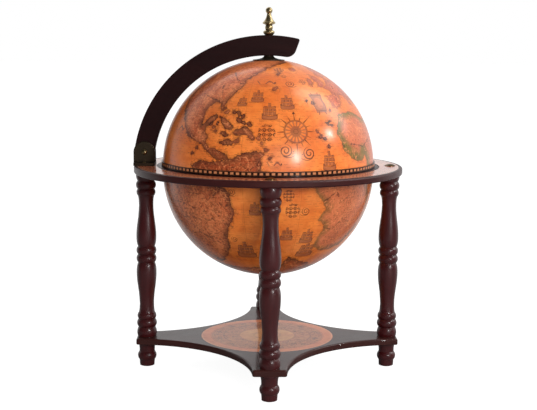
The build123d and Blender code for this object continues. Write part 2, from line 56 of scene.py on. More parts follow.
def placeCamera(look):
    view = bpy.data.cameras.new("camera")
    view.lens = look["lens"]
    view.clip_end = look["furthest"]
    shown = addToScene("camera", view)
    turn = Matrix.Rotation(radians(-look["heading"]), 4, "Z")
    tilt = Matrix.Rotation(radians(90 - look["downwards"]), 4, "X")
    roll = Matrix.Rotation(radians(look["roll"]), 4, "Z")
    shown.matrix_world = Matrix.Translation(look["place"]) @ turn @ tilt @ roll
    bpy.context.scene.camera = shown


placeCamera(camera)
print("camera placed")


def paint(red, green, blue):
    # a colour as it is mixed on screen, 0 to 255, as the shader wants it
    shares = [value / 255 for value in (red, green, blue)]
    return tuple(s / 12.92 if s <= 0.04045 else ((s + 0.055) / 1.055) ** 2.4 for s in shares) + (1.0,)


def connect(value, socket):
    # a signal is linked; a number or colour is set on the socket itself
    if isinstance(value, Signal):
        value.tree.links.new(value.socket, socket)
    elif socket.type == "RGBA" and len(value) == 3:
        socket.default_value = paint(*value)
    else:
        socket.default_value = value


def addNode(tree, kind, inputs, output=0, **settings):
    # gives the new node's output of that name or number
    node = tree.nodes.new("ShaderNode" + kind)
    for name, value in settings.items():
        setattr(node, name, value)
    for label, value in inputs.items():
        connect(value, node.inputs[label])
    return Signal(node.outputs[output])


class Signal:
    # what changes over the surface; those that are numbers are worked on by plain arithmetic
    def __init__(self, socket):
        self.tree, self.socket = socket.id_data, socket

    def calc(self, operation, *others, clamp=False):
        values = dict(enumerate((self,) + others))
        return addNode(self.tree, "Math", values, operation=operation, use_clamp=clamp)

    def __rsub__(self, other):
        return self.calc("MULTIPLY_ADD", -1.0, other)

    def __neg__(self):
        return self * -1.0

    def above(self, edge, soft):
        # 0 below the edge and 1 above it, over a soft width
        return self.calc("MULTIPLY_ADD", 1 / soft, 0.5 - edge / soft, clamp=True)

    def below(self, edge, soft):
        return self.calc("MULTIPLY_ADD", -1 / soft, 0.5 + edge / soft, clamp=True)

    def line(self, width, soft):
        # 1 where the number is near nought: a line of that width
        return abs(self).below(width / 2, soft)

    def near(self, middle, reach, soft):
        return abs(self - middle).below(reach, soft)

    def between(self, low, high, soft):
        return self.above(low, soft) * self.below(high, soft)

    def offStep(self, step):
        # how far from the nearest multiple of the step, with its sign
        return self - (self / step).nearest() * step


def calcMethod(operation):
    return lambda self, *others: self.calc(operation, *others)


for name, operation in {
    "__add__": "ADD", "__radd__": "ADD", "__sub__": "SUBTRACT", "__mul__": "MULTIPLY",
    "__truediv__": "DIVIDE", "__abs__": "ABSOLUTE", "least": "MINIMUM", "most": "MAXIMUM",
    "nearest": "ROUND", "whole": "FLOOR", "part": "FRACT", "sine": "SINE",
}.items():
    setattr(Signal, name, calcMethod(operation))


def boldest(*masks):
    return reduce(Signal.most, masks)


def polar(x, y):
    # how far out, and which way round in radians
    return (x * x + y * y).calc("POWER", 0.5), y.calc("ARCTAN2", x)


def parts(vector):
    node = vector.tree.nodes.new("ShaderNodeSeparateXYZ")
    connect(vector, node.inputs[0])
    return [Signal(output) for output in node.outputs]


def join(x, y, z=0.0):
    return addNode(x.tree, "CombineXYZ", {0: x, 1: y, 2: z})


def objectPlace(tree, centre=(0, 0, 0), scale=(1, 1, 1)):
    # a pattern's own coordinates: from its centre, in millimetres times the scale
    stretch = [s / millimetre for s in scale]
    shift = [-c * s / millimetre for c, s in zip(centre, scale)]
    own = addNode(tree, "TexCoord", {}, "Object")
    return addNode(tree, "Mapping", {"Vector": own, "Scale": stretch, "Location": shift})


def noise(vector, scale, detail=2.0, rough=0.5, bend=0.0):
    inputs = {"Vector": vector, "Scale": scale, "Detail": detail, "Roughness": rough, "Distortion": bend}
    return addNode(vector.tree, "TexNoise", inputs, "Fac")


def cells(vector, scale, output="Distance"):
    return addNode(vector.tree, "TexVoronoi", {"Vector": vector, "Scale": scale}, output)


def mixed(share, first, second, mode="MIX"):
    colours = {0: share, 6: first, 7: second}
    return addNode(share.tree, "Mix", colours, 2, data_type="RGBA", blend_type=mode)


def layered(colour, look, *layers):
    # each layer covers the last where its mask is, in the look's colour of that name
    for share, name in layers:
        colour = mixed(share, colour, look[name])
    return colour


def bump(height, distance=millimetre):
    return addNode(height.tree, "Bump", {"Distance": distance, "Height": height}, "Normal")


def sharedGroup(name, inputs, outputs):
    # makes a node group of a function that is handed the inputs and gives the outputs
    # calling it then adds a node of that group, with its inputs in the same order
    def build(draw):
        group = bpy.data.node_groups.new(name, "ShaderNodeTree")
        for labels, side in ((inputs, "INPUT"), (outputs, "OUTPUT")):
            for label in labels:
                kind = label if label in ("Vector", "Color") else "Float"
                group.interface.new_socket(name=label, in_out=side, socket_type="NodeSocket" + kind)
        given = group.nodes.new("NodeGroupInput").outputs
        results = draw(*[Signal(given[label]) for label in inputs])
        for value, socket in zip(results, group.nodes.new("NodeGroupOutput").inputs):
            connect(value, socket)

        def use(tree, *values):
            node = tree.nodes.new("ShaderNodeGroup")
            node.node_tree = group
            for value, socket in zip(values, node.inputs):
                connect(value, socket)
            signals = [Signal(output) for output in node.outputs]
            return signals if len(signals) > 1 else signals[0]

        return use

    return build


def newMaterial(name, constants):
    # constants are set on the shader's own sockets
    material = bpy.data.materials.new(name)
    material.use_nodes = True
    shader = material.node_tree.nodes["Principled BSDF"].inputs
    for label, value in constants.items():
        connect(value, shader[label])
    return material, material.node_tree, shader


@sharedGroup("wood grain", ["Vector"], ["Streaks", "Pores"])
def woodGrain(vector):
    # streaks and pores along the vector's third axis, which the finish has squeezed
    wide = noise(vector, 0.12, 3, 0.55, 0.6)
    fine = noise(vector, 0.7, 4, 0.6, 0.2)
    streaks = (wide * 0.65 + fine * 0.35).calc("MULTIPLY_ADD", 2.2, -0.6, clamp=True)
    return streaks, noise(vector, 2.6, 2, 0.7).above(0.62, 0.08)


@sharedGroup("lacquer film", ["Vector", "Roughness", "Unevenness"], ["Roughness", "Height"])
def lacquerFilm(vector, roughness, unevenness):
    # a sprayed finish: slightly uneven gloss, faint orange peel and a few specks of dust
    smears = noise(vector, 0.035, 3, 0.6)
    specks = cells(vector, 0.16).below(0.09, 0.05)
    rough = (smears - 0.5) * unevenness + roughness
    peel = noise(vector, 0.22, 1)
    return (rough + specks * 0.04).most(0.02), peel + specks * 0.5


@sharedGroup("edge wear", ["Vector", "Width", "Breakup"], ["Mask"])
def edgeWear(vector, width, breakup):
    # where a corner is rounded off: the normal that a small bevel would give leaves the true one
    tree = vector.tree
    normals = {
        0: addNode(tree, "Bevel", {"Radius": width}, samples=4),
        1: addNode(tree, "NewGeometry", {}, "Normal"),
    }
    edge = addNode(tree, "VectorMath", normals, "Value", operation="DOT_PRODUCT").below(0.93, 0.12)
    kept = (noise(vector, 0.25, 4, 0.7) - 0.5) * breakup * 3 + 0.6
    return (edge * kept.least(1).most(0),)


@sharedGroup("recesses", ["Reach"], ["Mask"])
def recesses(reach):
    # how much a spot is tucked away from its surroundings, which darkens the legs' grooves as painted shade
    # and the metal's hollows as patina
    shade = addNode(reach.tree, "AmbientOcclusion", {"Distance": reach}, "AO", samples=6, only_local=True)
    return (shade.below(0.62, 0.6),)


@sharedGroup("old paper", ["Vector", "Color", "Age"], ["Color"])
def oldPaper(vector, colour, age):
    # an aged print: broad stains, mottling and foxing spots over the given colour
    stains = noise(vector, 0.012, 4, 0.55, 0.4).above(0.52, 0.35)
    mottle = noise(vector, 0.09, 4, 0.65)
    spots = cells(vector, 0.055).below(0.1, 0.08)
    dark = mixed(stains * age * 0.34, colour, (176, 104, 58), "MULTIPLY")
    pale = mixed((mottle - 0.42) * age * 0.9, dark, (150, 96, 42), "SCREEN")
    toned = mixed((0.55 - mottle) * age * 1.5, pale, (190, 120, 70), "MULTIPLY")
    return (mixed(spots * age * 0.25, toned, (150, 85, 45), "MULTIPLY"),)


def lacquered(shader, place, colour, look, relief=0, dull=0):
    # the uneven film over the colour, which is aged where the look gives an age
    if "age" in look:
        colour = oldPaper(place.tree, place, colour, look["age"])
    rough, height = lacquerFilm(place.tree, place, look["roughness"], look["unevenness"])
    connect(colour, shader["Base Color"])
    connect(rough + dull, shader["Roughness"])
    connect(bump(height * look["peel"] + relief), shader["Normal"])


print("shared effects made")

drawings = {}
drawingPitch = 4  # between the drawings on the sheet that holds them all


def drawing(draw):
    # each is drawn on a square from -1 to 1, and gives its ink and its wash
    def trimmed(vector):
        x, y, _ = parts(vector)
        inside = abs(x).most(abs(y)).below(0.98, 0.02)
        return [mask * inside for mask in draw(x, y)]

    name = draw.__name__
    drawings[name] = sharedGroup(name, ["Vector"], ["Ink", "Wash"])(trimmed)
    return drawings[name]


@drawing
def ship(x, y):
    # a three-masted sailing ship, her sails full, on a few waves
    fine = 0.035
    mastStep = 0.38
    hand = noise(join(x, y), 2.2, 3, 0.7) - 0.5
    x = x + hand * 0.2
    y = y + hand * 0.12
    deck = x * x * 0.34 + (-x).above(0.5, 0.08) * 0.13 - 0.46
    keel = (x * x) * (x * x) * 0.5 - 0.8
    hull = (deck - y).least(y - keel).least(0.7 - abs(x))
    body = hull.above(0, fine)
    planks = y.offStep(0.085).line(0.022, fine) * body * 0.6
    mast = (x / mastStep).nearest().most(-1).least(1) * mastStep
    aside = x - mast
    top = 0.96 - abs(mast) * 1.05
    pole = aside.line(0.03, fine) * y.above(-0.45, 0.02) * (top - y).above(0, 0.02)
    rise = (y + 0.42) / 0.4
    row = rise.whole().most(0)
    height = rise.part()
    belly = aside / ((0.27 - row * 0.05) * (1 - height * 0.3))
    cloth = (1 - abs(belly)).least((height - 0.1 - (1 - belly * belly) * 0.1) * 3)
    cloth = cloth.least((0.94 - height) * 3).least((top - y) * 6).least((y + 0.4) * 8)
    sail = cloth.above(0, 0.1)
    edge = cloth.line(0.22, 0.16)
    shade = (belly + height * 0.3).offStep(0.26).line(0.1, 0.08) * belly.above(0, 0.5) * sail
    pennant = (y - top).line(0.06, fine) * (aside - 0.08).line(0.16, fine)
    sprit = (y - x * 0.75 + 0.78).line(0.03, fine) * x.between(0.58, 0.92, 0.02)
    swell = (x * 13).sine() * 0.022
    sea = (y + swell).offStep(0.095).line(0.03, fine) * y.below(-0.7, 0.04)
    sea = sea * abs(x).below(0.95, 0.05) * (1 - body)
    ink = boldest(planks, hull.line(0.05, fine), pole, edge, shade * 0.8, pennant, sprit, sea * 0.7)
    return ink, boldest(body * 0.85, sail * 0.78, sea * 0.3)


@drawing
def rose(x, y):
    # a petalled wheel in a ring, a crown of thin spikes and a long north pointer
    fine = 0.014
    reach, angle = polar(x, y)
    sixteenth = pi / 16
    turn = angle * (16 / pi)
    petals = (abs(turn.offStep(2)) + reach * 0.8).below(0.86, 0.16) * reach.above(0.24, 0.06)
    petals = petals * reach.below(0.45, 0.02)
    circles = ((0.49, 0.024), (0.525, 0.014), (0.1, 0.02))
    rings = boldest(*[(reach - out).line(width, fine) for out, width in circles])
    star = abs(turn.offStep(2)) * reach * sixteenth
    length = 0.84 - abs(turn.offStep(4)).above(1, 0.1) * 0.14
    points = ((length - reach) * 0.07 + 0.006 - star).above(0, fine) * reach.above(0.52, fine)
    rays = abs(turn.offStep(4)) * reach * sixteenth
    far = rays.line(0.014, 0.01) * reach.above(0.52, fine) * reach.below(0.97, 0.05) * 0.7
    north = x.line(0.022, 0.01) * y.above(0.52, fine)
    lily = ((y - 0.84) * 0.5 + abs(x)).below(0.05, fine) * y.above(0.8, fine)
    wheel = reach.below(0.49, fine) * (1 - petals)
    shading = wheel * (reach.below(0.28, 0.16) * 0.2 + 0.15)
    return boldest(shading, rings, points, far, north, lily), wheel * 0.75


@drawing
def scroll(x, y):
    # a pen flourish: one open curl with a long tail
    dx, dy = x + 0.1, y - 0.15
    reach, angle = polar(dx, dy)
    curl = (reach / 0.34 - angle / (2 * pi)).offStep(1).line(0.34, 0.1)
    curl = curl * reach.between(0.12, 0.72, 0.03)
    sweep = y + 0.62 - (x - 0.2) * (x - 0.2) * 0.5
    tail = sweep.line(0.07, 0.03) * x.between(-0.45, 0.9, 0.05)
    dots = (abs(dx - 0.86).most(abs(dy + 0.1)) - 0.06).below(0, 0.03)
    return boldest(curl, tail, dots), x * 0


@drawing
def cartouche(x, y):
    # an upright scrolled panel with nothing written in it
    fine = 0.03
    waist = abs(x) * 1.9 + (y * 7).sine() * 0.07
    panel = waist.most(abs(y) * 1.18)
    border = (panel - 0.78).line(0.06, fine).most((panel - 0.92).line(0.035, fine))
    hatch = (y + x * 0.12).offStep(0.11).line(0.03, fine) * panel.below(0.72, fine)
    blank = (x * x * 3.2 + y * y * 1.6).below(0.36, 0.06)
    crown = abs(y).above(0.72, fine) * abs(x).below(0.42, fine)
    leaves = (abs(x) * 6 - abs(y) * 2).sine().line(0.5, 0.3) * crown
    ink = boldest(border, hatch * (1 - blank * 0.6) * 0.8, leaves * 0.9)
    return ink, panel.below(0.92, fine) * (0.9 - blank * 0.25)


@drawing
def serpent(x, y):
    # a sea serpent's back: three humps that sink below the waves
    fine = 0.03
    hump = (x * 4.6).sine() * (0.34 - x * 0.12)
    shown = y.above(-0.1, fine)
    body = (y - hump).line(0.14, fine) * shown * abs(x).below(0.88, fine)
    edge = (abs(y - hump) - 0.1).line(0.035, fine) * shown * abs(x).below(0.9, fine)
    scales = (x + y * 0.6).offStep(0.09).line(0.03, fine) * body
    head, _ = polar(x - 0.84, y - 0.1)
    swell = (x * 15).sine() * 0.02
    sea = (y + swell).offStep(0.12).line(0.03, fine) * y.between(-0.5, -0.08, 0.03)
    sea = sea * (abs(x) + abs(y)).below(0.98, 0.05)
    return boldest(edge, scales, head.below(0.11, fine), sea * 0.7), body


@drawing
def knot(x, y):
    # rows of small curls turned about, in a ragged oval
    along, upward = x * 1.9, y * 2.1
    turned = ((upward.whole() + along.whole()) / 2).part().above(0.25, 0.01) * 2 - 1
    dx, dy = (along.part() - 0.5) * turned, upward.part() - 0.5
    reach, angle = polar(dx, dy)
    curl = (reach / 0.3 - angle / (2 * pi)).offStep(1).line(0.7, 0.14) * reach.below(0.44, 0.04)
    stem = (dy + dx * dx * 1.6 - 0.4).line(0.14, 0.05)
    oval = (x * x * 1.1 + y * y + (x * 11).sine() * 0.06).below(0.78, 0.1)
    return curl.most(stem) * oval, x * 0


@sharedGroup("engraved marks", ["North", "East", "Radius"], ["Hills", "Hachures", "Towns", "Waves"])
def engraving(north, east, radius):
    # rows of small engraved marks that keep upright: hills, hachures and towns on land, waves at sea
    rise = north * radius * radians(1)

    def lattice(pitch, rowHeight, seed):
        row = (rise / rowHeight).whole()
        shrink = ((row + 0.5) * rowHeight / radius).calc("COSINE")
        along = east * radius * shrink * (radians(1) / pitch) + row * 0.37
        luck = addNode(north.tree, "TexWhiteNoise", {"Vector": join(along.whole(), row, seed)}, "Value")
        across = (along.part() - 0.5) * pitch
        upward = ((rise / rowHeight).part() - 0.5) * rowHeight
        return across, upward, luck

    soft = 0.3  # every size here is in millimetres
    p, q, luck = lattice(5.2, 4, 1)
    arch = q - (1.1 + luck * 0.4) + p * p * 0.5
    shown = q.above(-1.1, soft)
    lee = (p - q * 0.4).offStep(1.1).line(0.5, soft) * arch.below(-0.1, soft) * p.above(0, soft) * shown
    hills = (arch.line(0.85, soft) * shown).most(lee * 0.8) * luck.above(0.25, 0.02)
    p, q, luck = lattice(7.6, 3.4, 2)
    stroke = (p + q * 0.3).offStep(1.5).line(0.7, soft) * abs(q).below(0.5 + luck * 0.6, soft)
    hachures = stroke * abs(p).below(1.2 + luck * 2, soft) * luck.above(0.35, 0.02)
    p, q, luck = lattice(8, 6.5, 3)
    towns = (polar(p, q)[0] - 0.9).line(0.7, soft) * luck.above(0.55, 0.02)
    p, q, luck = lattice(9, 4, 4)
    wave = (q - (p * 2.2).sine() * 0.35).line(0.5, soft) * abs(p).below(1 + luck * 2.4, soft)
    return hills, hachures, towns, wave * luck.above(0.5, 0.02)


drawingKinds = list(drawings)
print("drawings made:", ", ".join(drawingKinds))


islandSides = 10


def islandOutlines(*islands):
    # an island is a rough oval: its middle, half its length and width, and its tilt from the east
    outlines = []
    for east, north, length, width, tilt in islands:
        lean = radians(tilt)
        outlines.append([])
        for turn in np.arange(islandSides) * 2 * pi / islandSides:
            along, across = length * cos(turn), width * sin(turn)
            x = east + along * cos(lean) - across * sin(lean)
            y = north + along * sin(lean) + across * cos(lean)
            outlines[-1].append((x, y))
    return outlines


# the old world map: outlines in degrees east and north, drawn as old maps have them
americas = [
    [
        (-168, 66), (-156, 71), (-140, 76), (-110, 82), (-60, 86), (-10, 84), (-4, 79), (-14, 77),
        (-30, 74.5), (-46, 72), (-56, 68), (-64, 64), (-70, 60), (-76, 55.5), (-77, 51), (-80, 46.5),
        (-84, 41), (-85, 36), (-86, 33), (-87.5, 35), (-88.5, 38.5), (-93, 39), (-97, 36.5), (-98, 33),
        (-98, 29), (-97, 25.5), (-95, 27.5), (-92.5, 30), (-88, 31.5), (-87.5, 30), (-89.5, 27.5),
        (-93.5, 24.5), (-93.5, 22), (-91, 19), (-91.5, 16), (-89, 14), (-83.5, 13), (-78, 10.5), (-77, 8),
        (-81.5, 7.5), (-86, 9), (-90, 12), (-95.5, 16), (-101, 17.5), (-106.5, 19.5), (-112, 24.5),
        (-117, 29), (-122, 33), (-127, 40), (-128, 47), (-133, 54), (-145, 60), (-158, 57), (-165, 61),
    ],
    [
        (-94, 7), (-87, 6.5), (-81, 7.5), (-77, 8.5), (-74, 9), (-70, 11.5), (-64, 12.5), (-59.5, 12.5),
        (-58, 11), (-60, 8.5), (-59.5, 3), (-52, 1), (-46, -2), (-39.5, -4), (-36.5, -6), (-36, -10.5),
        (-34, -16.5), (-36.5, -21.5), (-39, -26), (-41.5, -32), (-42, -39), (-48, -46), (-56, -52),
        (-66, -55), (-74, -50), (-82, -42), (-89, -32), (-90, -22), (-88, -12), (-92, -5), (-97, 1),
        (-100, 4),
    ],
    [(-86.5, 31), (-82.5, 30), (-79, 27.5), (-76, 25), (-78, 23.5), (-81, 24), (-84, 27)],
    [(-76, 22), (-73, 24.5), (-69, 25.5), (-65, 22.5), (-64, 19), (-67, 20), (-69.5, 21.5), (-73, 21)],
    [(-83.5, 21.5), (-80.5, 22.8), (-78, 21), (-80, 19.5)],
    [(-83, 17), (-79, 18.8), (-75.5, 17.8), (-71.5, 19), (-72, 16.8), (-76.5, 15.6), (-80.5, 15.6)],
    [(-86, 35), (-84, 36.4), (-83.4, 35.4), (-85, 34)],
    *islandOutlines(
        (-82, 33.4, 1.5, 0.9, 20), (-77.5, 33.4, 1.7, 1, -25), (-74, 32.6, 2.1, 1, -35),
        (-71.3, 31, 1, 1.5, -15), (-73.2, 28.8, 1.9, 0.9, -40), (-70.3, 27.5, 1.3, 1, 0),
        (-67, 26.8, 1.7, 1, -30), (-91, 26, 1, 0.8, 0), (-88.3, 24.6, 1.1, 0.8, 30),
        (-86.5, 27, 0.9, 1.1, 0), (-87, 22.5, 1, 0.8, 0), (-61.5, 19.5, 0.9, 0.9, 0),
        (-59.5, 16.8, 0.9, 1, 0), (-57.5, 13.5, 1.2, 0.9, 0), (-55.5, 9.5, 1.2, 0.8, 0),
        (-100, 10.5, 1, 0.9, 0), (-97, 13, 0.9, 0.9, 0), (-63, -52, 2, 1, 0),
    ),
]
africa = [
    [
        (-9, 31.5), (-2, 32), (5, 32.5), (11.5, 31), (17, 28), (22, 27), (29, 29), (34, 29), (36, 24),
        (41, 14), (44, 12), (51, 12), (49, 4), (50, -6), (58, -15), (60, -25), (50, -33), (43, -40),
        (34, -42.5), (24, -42.5), (16, -39), (15.5, -32), (18, -27), (17, -24), (13, -21), (14, -18),
        (16.5, -15), (14, -11), (10.5, -7.5), (8.5, -4), (9, 2), (9, 5), (7, 8.5), (3.5, 6), (-2, 6),
        (-8, 9), (-12.5, 12.5), (-13, 17), (-15, 20.5), (-13.5, 24.5), (-10.5, 28.5),
    ],
    [(66, -25), (71, -16), (69, -11), (64, -17)],
]
oceanIslands = islandOutlines(
    (-14.5, 34.2, 1, 0.7, 20), (-18, 28, 1.3, 0.7, 30), (-17.3, 25.8, 0.9, 0.6, 0),
    (-20.2, 26.8, 1.1, 0.6, -30), (-28.3, 22.6, 1.3, 0.7, -30), (-26.6, 20, 1.2, 0.7, 15),
    (-24.2, 18.6, 1, 0.6, -20), (-22.4, 14.6, 0.7, 1.1, 0), (-26, 39, 1.3, 0.7, -20),
    (-30, 40.5, 1.1, 0.6, 10), (-51, 49, 2.6, 1, 30), (-45, 62, 3, 1.1, 30),
)
eurasia = [
    [
        (-10, 37), (-10.5, 43), (-3, 44), (-2, 47), (-6, 49), (1, 51), (7, 54), (9, 58), (12, 54), (20, 55),
        (24, 59), (21, 63), (24, 66), (17, 61), (16, 56), (11, 59), (5, 59), (8, 65), (18, 70), (30, 71),
        (42, 67), (36, 64), (50, 68), (68, 73), (90, 76), (108, 77), (130, 72), (160, 70), (188, 67),
        (178, 62), (163, 60), (157, 51), (155, 59), (140, 57), (141, 51), (133, 43), (129, 36), (125, 39),
        (119, 38), (122, 31), (117, 23), (108, 21), (109, 12), (104, 9), (101, 13), (104, 2), (99, 8),
        (97, 16), (90, 22), (82, 16), (78, 8), (73, 19), (67, 25), (57, 26), (50, 30), (52, 25), (59, 22),
        (54, 16), (44, 13), (39, 21), (35, 29), (36, 36), (28, 37), (27, 41), (40, 42), (37, 46), (30, 45),
        (27, 40), (23, 37), (19, 41), (14, 45), (18, 40), (15, 39), (11, 43), (5, 43), (1, 39), (-3, 36),
        (-7, 35.5),
    ],
    [(-12, 50), (-5, 50), (-1, 53), (-4, 58), (-9, 60), (-10, 55), (-8, 53)],
    *islandOutlines(
        (-16.5, 54, 2.6, 1.8, 60), (-24, 66, 4.6, 1.6, 5), (14, 37.5, 1.6, 0.8, 0), (81, 7, 1, 1.8, 0),
        (138, 37, 5.5, 1.5, 45), (142, 44, 2, 1.3, 20), (122, 13, 2.2, 4.5, 20), (114, 1, 4.5, 4, 40),
        (102, 0, 7.5, 1.7, -48), (110, -7, 4.5, 0.9, -6), (121, -2, 1.6, 3.2, 15), (141, -5, 8, 2.6, -14),
    ),
]
southLand = [
    [
        (114, -22), (122, -17), (130, -13), (137, -12), (142, -13), (146, -19), (153, -27), (150, -37),
        (141, -38), (131, -32), (118, -35), (114, -33),
    ],
    *islandOutlines(
        (172, -42, 6, 1.8, 48),
    ),
]
frozenCoast = {
    "north": -57, "sway": 2.5, "waves": 4, "offset": 92,
    "capes": [
        [
            (-8, -62), (-3.7, -54), (-2, -49.5), (0, -46), (2.5, -48), (5.3, -48), (11, -51), (17, -53),
            (23, -54), (32, -62),
        ],
        [(66, -64), (72, -55), (80, -51), (86, -53), (92, -50), (104, -56), (112, -64)],
        [(150, -64), (158, -53), (165, -54), (171, -48), (180, -52), (192, -64)],
        [(-140, -64), (-132, -55), (-122, -50), (-116, -52), (-108, -57), (-100, -64)],
    ],
}
rivers = [
    [(-88, -14), (-78, -13.5), (-66, -14), (-60, -16), (-53, -14), (-48.5, -10), (-43, -6), (-40, -4)],
    [(-49, -3), (-46.5, -8), (-43, -11), (-40, -14)],
    [(-84, -24), (-76, -23), (-62, -21), (-53.5, -23), (-44, -19)],
    [(-72, -33), (-62, -30), (-55, -33), (-48, -36), (-42, -35)],
    [(-76, 4), (-70, 6), (-66, 3), (-62, 6), (-60, 9)], [(-96, 51), (-92, 45), (-92, 40), (-89, 38)],
    [(-110, 44), (-101, 42), (-92, 40)], [(-96, 62), (-86, 56), (-80, 52), (-74, 56)],
    [(-14, 14), (-4, 15), (6, 13), (16, 16), (26, 13)], [(33, 29), (32, 22), (34, 15), (31, 6), (30, -4)],
    [(14, -11), (22, -6), (26, -12), (30, -10)], [(37, -24), (30, -22), (25, -27), (17, -27)],
    [(-3, 40), (0, 42), (3, 46), (8, 50), (6, 52)], [(30, 45), (22, 48), (14, 49), (9, 48)],
    [(48, 46), (46, 52), (50, 57), (38, 58)], [(90, 22), (82, 26), (76, 31)],
    [(68, 25), (72, 32), (78, 34)], [(121, 31), (112, 31), (104, 35), (98, 34)],
    [(72, 68), (76, 58), (84, 52)], [(104, 72), (106, 62), (100, 54)], [(130, 70), (126, 60), (118, 55)],
]
highGround = [
    [(-118, 34), (-114, 42), (-120, 50), (-130, 58)], [(-104, 22), (-104, 30), (-108, 38)],
    [(-80, 34), (-84, 40), (-80, 45)], [(-80, -4), (-82, -16), (-80, -28), (-76, -40), (-72, -50)],
    [(-8, 29), (2, 29), (12, 28)], [(36, 8), (36, 0), (34, -10), (32, -24), (26, -34)],
    [(-2, 42), (8, 46), (16, 46), (26, 47)], [(40, 42), (50, 37), (62, 35), (74, 33), (86, 29), (98, 30)],
    [(60, 66), (59, 58), (58, 50)], [(84, 48), (98, 50), (114, 54), (132, 60)], [(150, -35), (146, -24)],
]
continents = {
    "americas": americas, "africa": africa, "eurasia": eurasia,
    "southLand": southLand, "islands": oceanIslands,
}


def onUnitSphere(east, north):
    east, north = np.radians(east), np.radians(north)
    return np.stack([np.sin(east) * np.cos(north), -np.cos(east) * np.cos(north), np.sin(north)], -1)


def eastNorth(points):
    east = np.arctan2(points[:, 0], -points[:, 1])
    north = np.arcsin(points[:, 2].clip(-1, 1))
    return np.degrees(east), np.degrees(north)


def edgesOf(outline, closed, longest=6.0):
    # the outline's sides, the long ones divided so that each keeps to the sphere
    ends = []
    for start, end in zip(outline, outline[1:] + (outline[:1] if closed else [])):
        pieces = int(hypot(end[0] - start[0], end[1] - start[1]) // longest) + 1
        steps = np.linspace(0, 1, pieces + 1)
        run = [(start[0] + (end[0] - start[0]) * s, start[1] + (end[1] - start[1]) * s) for s in steps]
        ends += list(zip(run, run[1:]))
    return ends


def insideOutline(east, north, outline):
    west = min(point[0] for point in outline)
    east = (east - west) % 360 + west
    inside = np.zeros(len(east), bool)
    for (e1, n1), (e2, n2) in zip(outline, outline[1:] + outline[:1]):
        if n1 != n2:
            crosses = (n1 > north) != (n2 > north)
            inside ^= crosses & (east < e1 + (north - n1) * (e2 - e1) / (n2 - n1))
    return inside


def nearness(points, lines, closed, furthest=60):
    # degrees from each point to the nearest of some lines on the globe
    away = np.full(len(points), float(furthest))
    for line in lines:
        for start, end in edgesOf(line, closed):
            first, second = onUnitSphere(*start), onUnitSphere(*end)
            side = second - first
            along = ((points - first) @ side / (side @ side)).clip(0, 1)
            gap = points - (first + along[:, None] * side)
            away = np.minimum(away, np.degrees(np.sqrt((gap * gap).sum(1))))
    return away


def outlineField(points, outlines):
    # degrees to the nearest outline, less than nought outside them all
    inside = np.zeros(len(points), bool)
    for outline in outlines:
        inside |= insideOutline(*eastNorth(points), outline)
    away = nearness(points, outlines, True)
    return np.where(inside, away, -away)


def coastField(points):
    # degrees to the nearest coast, more than nought on land, and whose coast it is
    field = {name: outlineField(points, outlines) for name, outlines in continents.items()}
    east, north = eastNorth(points)
    sway = np.sin(np.radians(east * frozenCoast["waves"] + frozenCoast["offset"])) * frozenCoast["sway"]
    capes = outlineField(points, frozenCoast["capes"])
    field["frozen"] = np.maximum(capes, frozenCoast["north"] + sway - north)
    stacked = np.stack(list(field.values()))
    owner = stacked.argmax(0)
    return stacked.max(0), {name: owner == index for index, name in enumerate(field)}


# the two halves of the printed globe, in metres; front is the map's degree that faces the camera's side
# a stamp is a drawing's kind, its degrees east of the front and north, and half its size in millimetres,
# which is less than nought where the drawing is mirrored
globeHalves = {
    "lidMap": {
        "node": "lid_map", "body": "lid", "upper": True, "radius": 0.165, "centre": (0, 0, 0.3234),
        "cut": 0.3310, "hole": 0.0034, "skin": 0.0004, "front": -55.0, "seam": -40.0,
        "stamps": [
            ("rose", 14, 23, 34.5), ("ship", -8.6, 43.4, 13), ("ship", -0.5, 34, 16),
            ("ship", 11, 39.5, 14.5), ("ship", -18.5, 40, 10), ("cartouche", 34, 39, 21),
            ("scroll", 8.3, 12.5, 13), ("scroll", 20, 11, -13), ("serpent", 2, 6, 12), ("ship", 32, 7, 16),
            ("knot", -2, 22.5, 15), ("serpent", -3, 53, 15), ("scroll", 17, 52, 10), ("knot", 12, 66, 9),
            ("scroll", 30, 67, 6), ("scroll", 14, 59, -6), ("knot", 30, 54, 7), ("scroll", 36, 51, -6),
            ("serpent", -62, 22, 15), ("ship", -82, 20, 15), ("ship", -100, 34, 18), ("rose", -118, 18, 34),
            ("serpent", -92, 8, 15), ("ship", 125, 12, 17), ("serpent", 142, 14, 16),
            ("ship", -138, 40, 16), ("cartouche", -112, 48, 19), ("ship", -150, 12, 15),
            ("rose", 163, 24, 32), ("scroll", 108, 14, 12), ("ship", 176, 42, 15),
        ],
    },
    "bowlMap": {
        "node": "bowl_map", "body": "stand", "upper": False, "radius": 0.165, "centre": (0, 0, 0.3160),
        "cut": 0.3160, "collar": 0.0029, "skin": 0.0004, "front": -15.0, "seam": -29.0,
        "stamps": [
            ("ship", -16, -41, 20), ("ship", 26, -41, 19), ("ship", 10, -29, 13), ("ship", 23, -31, 15),
            ("knot", 12, -15, 13), ("scroll", 19, -16, -9), ("knot", 9.5, -7, 10), ("ship", -8, -14, 12),
            ("scroll", -20, -6, 8), ("serpent", -24, -25, 9), ("scroll", -22, -33, -7),
            ("rose", 80, -32, 30), ("ship", 92, -14, 15), ("serpent", 74, -12, 14), ("ship", 112, -44, 16),
            ("ship", -95, -16, 15), ("rose", -120, -30, 30), ("ship", -140, -12, 15),
            ("serpent", -98, -42, 15), ("cartouche", -160, -30, 19), ("ship", 175, -46, 15),
            ("ship", -118, -52, 13), ("serpent", 5, -52, 12),
        ],
    },
}


domeDetail = 8
sharpAngle = radians(40)
bakeReach = 0.48  # half the width of the unrolled half globe on its sheet


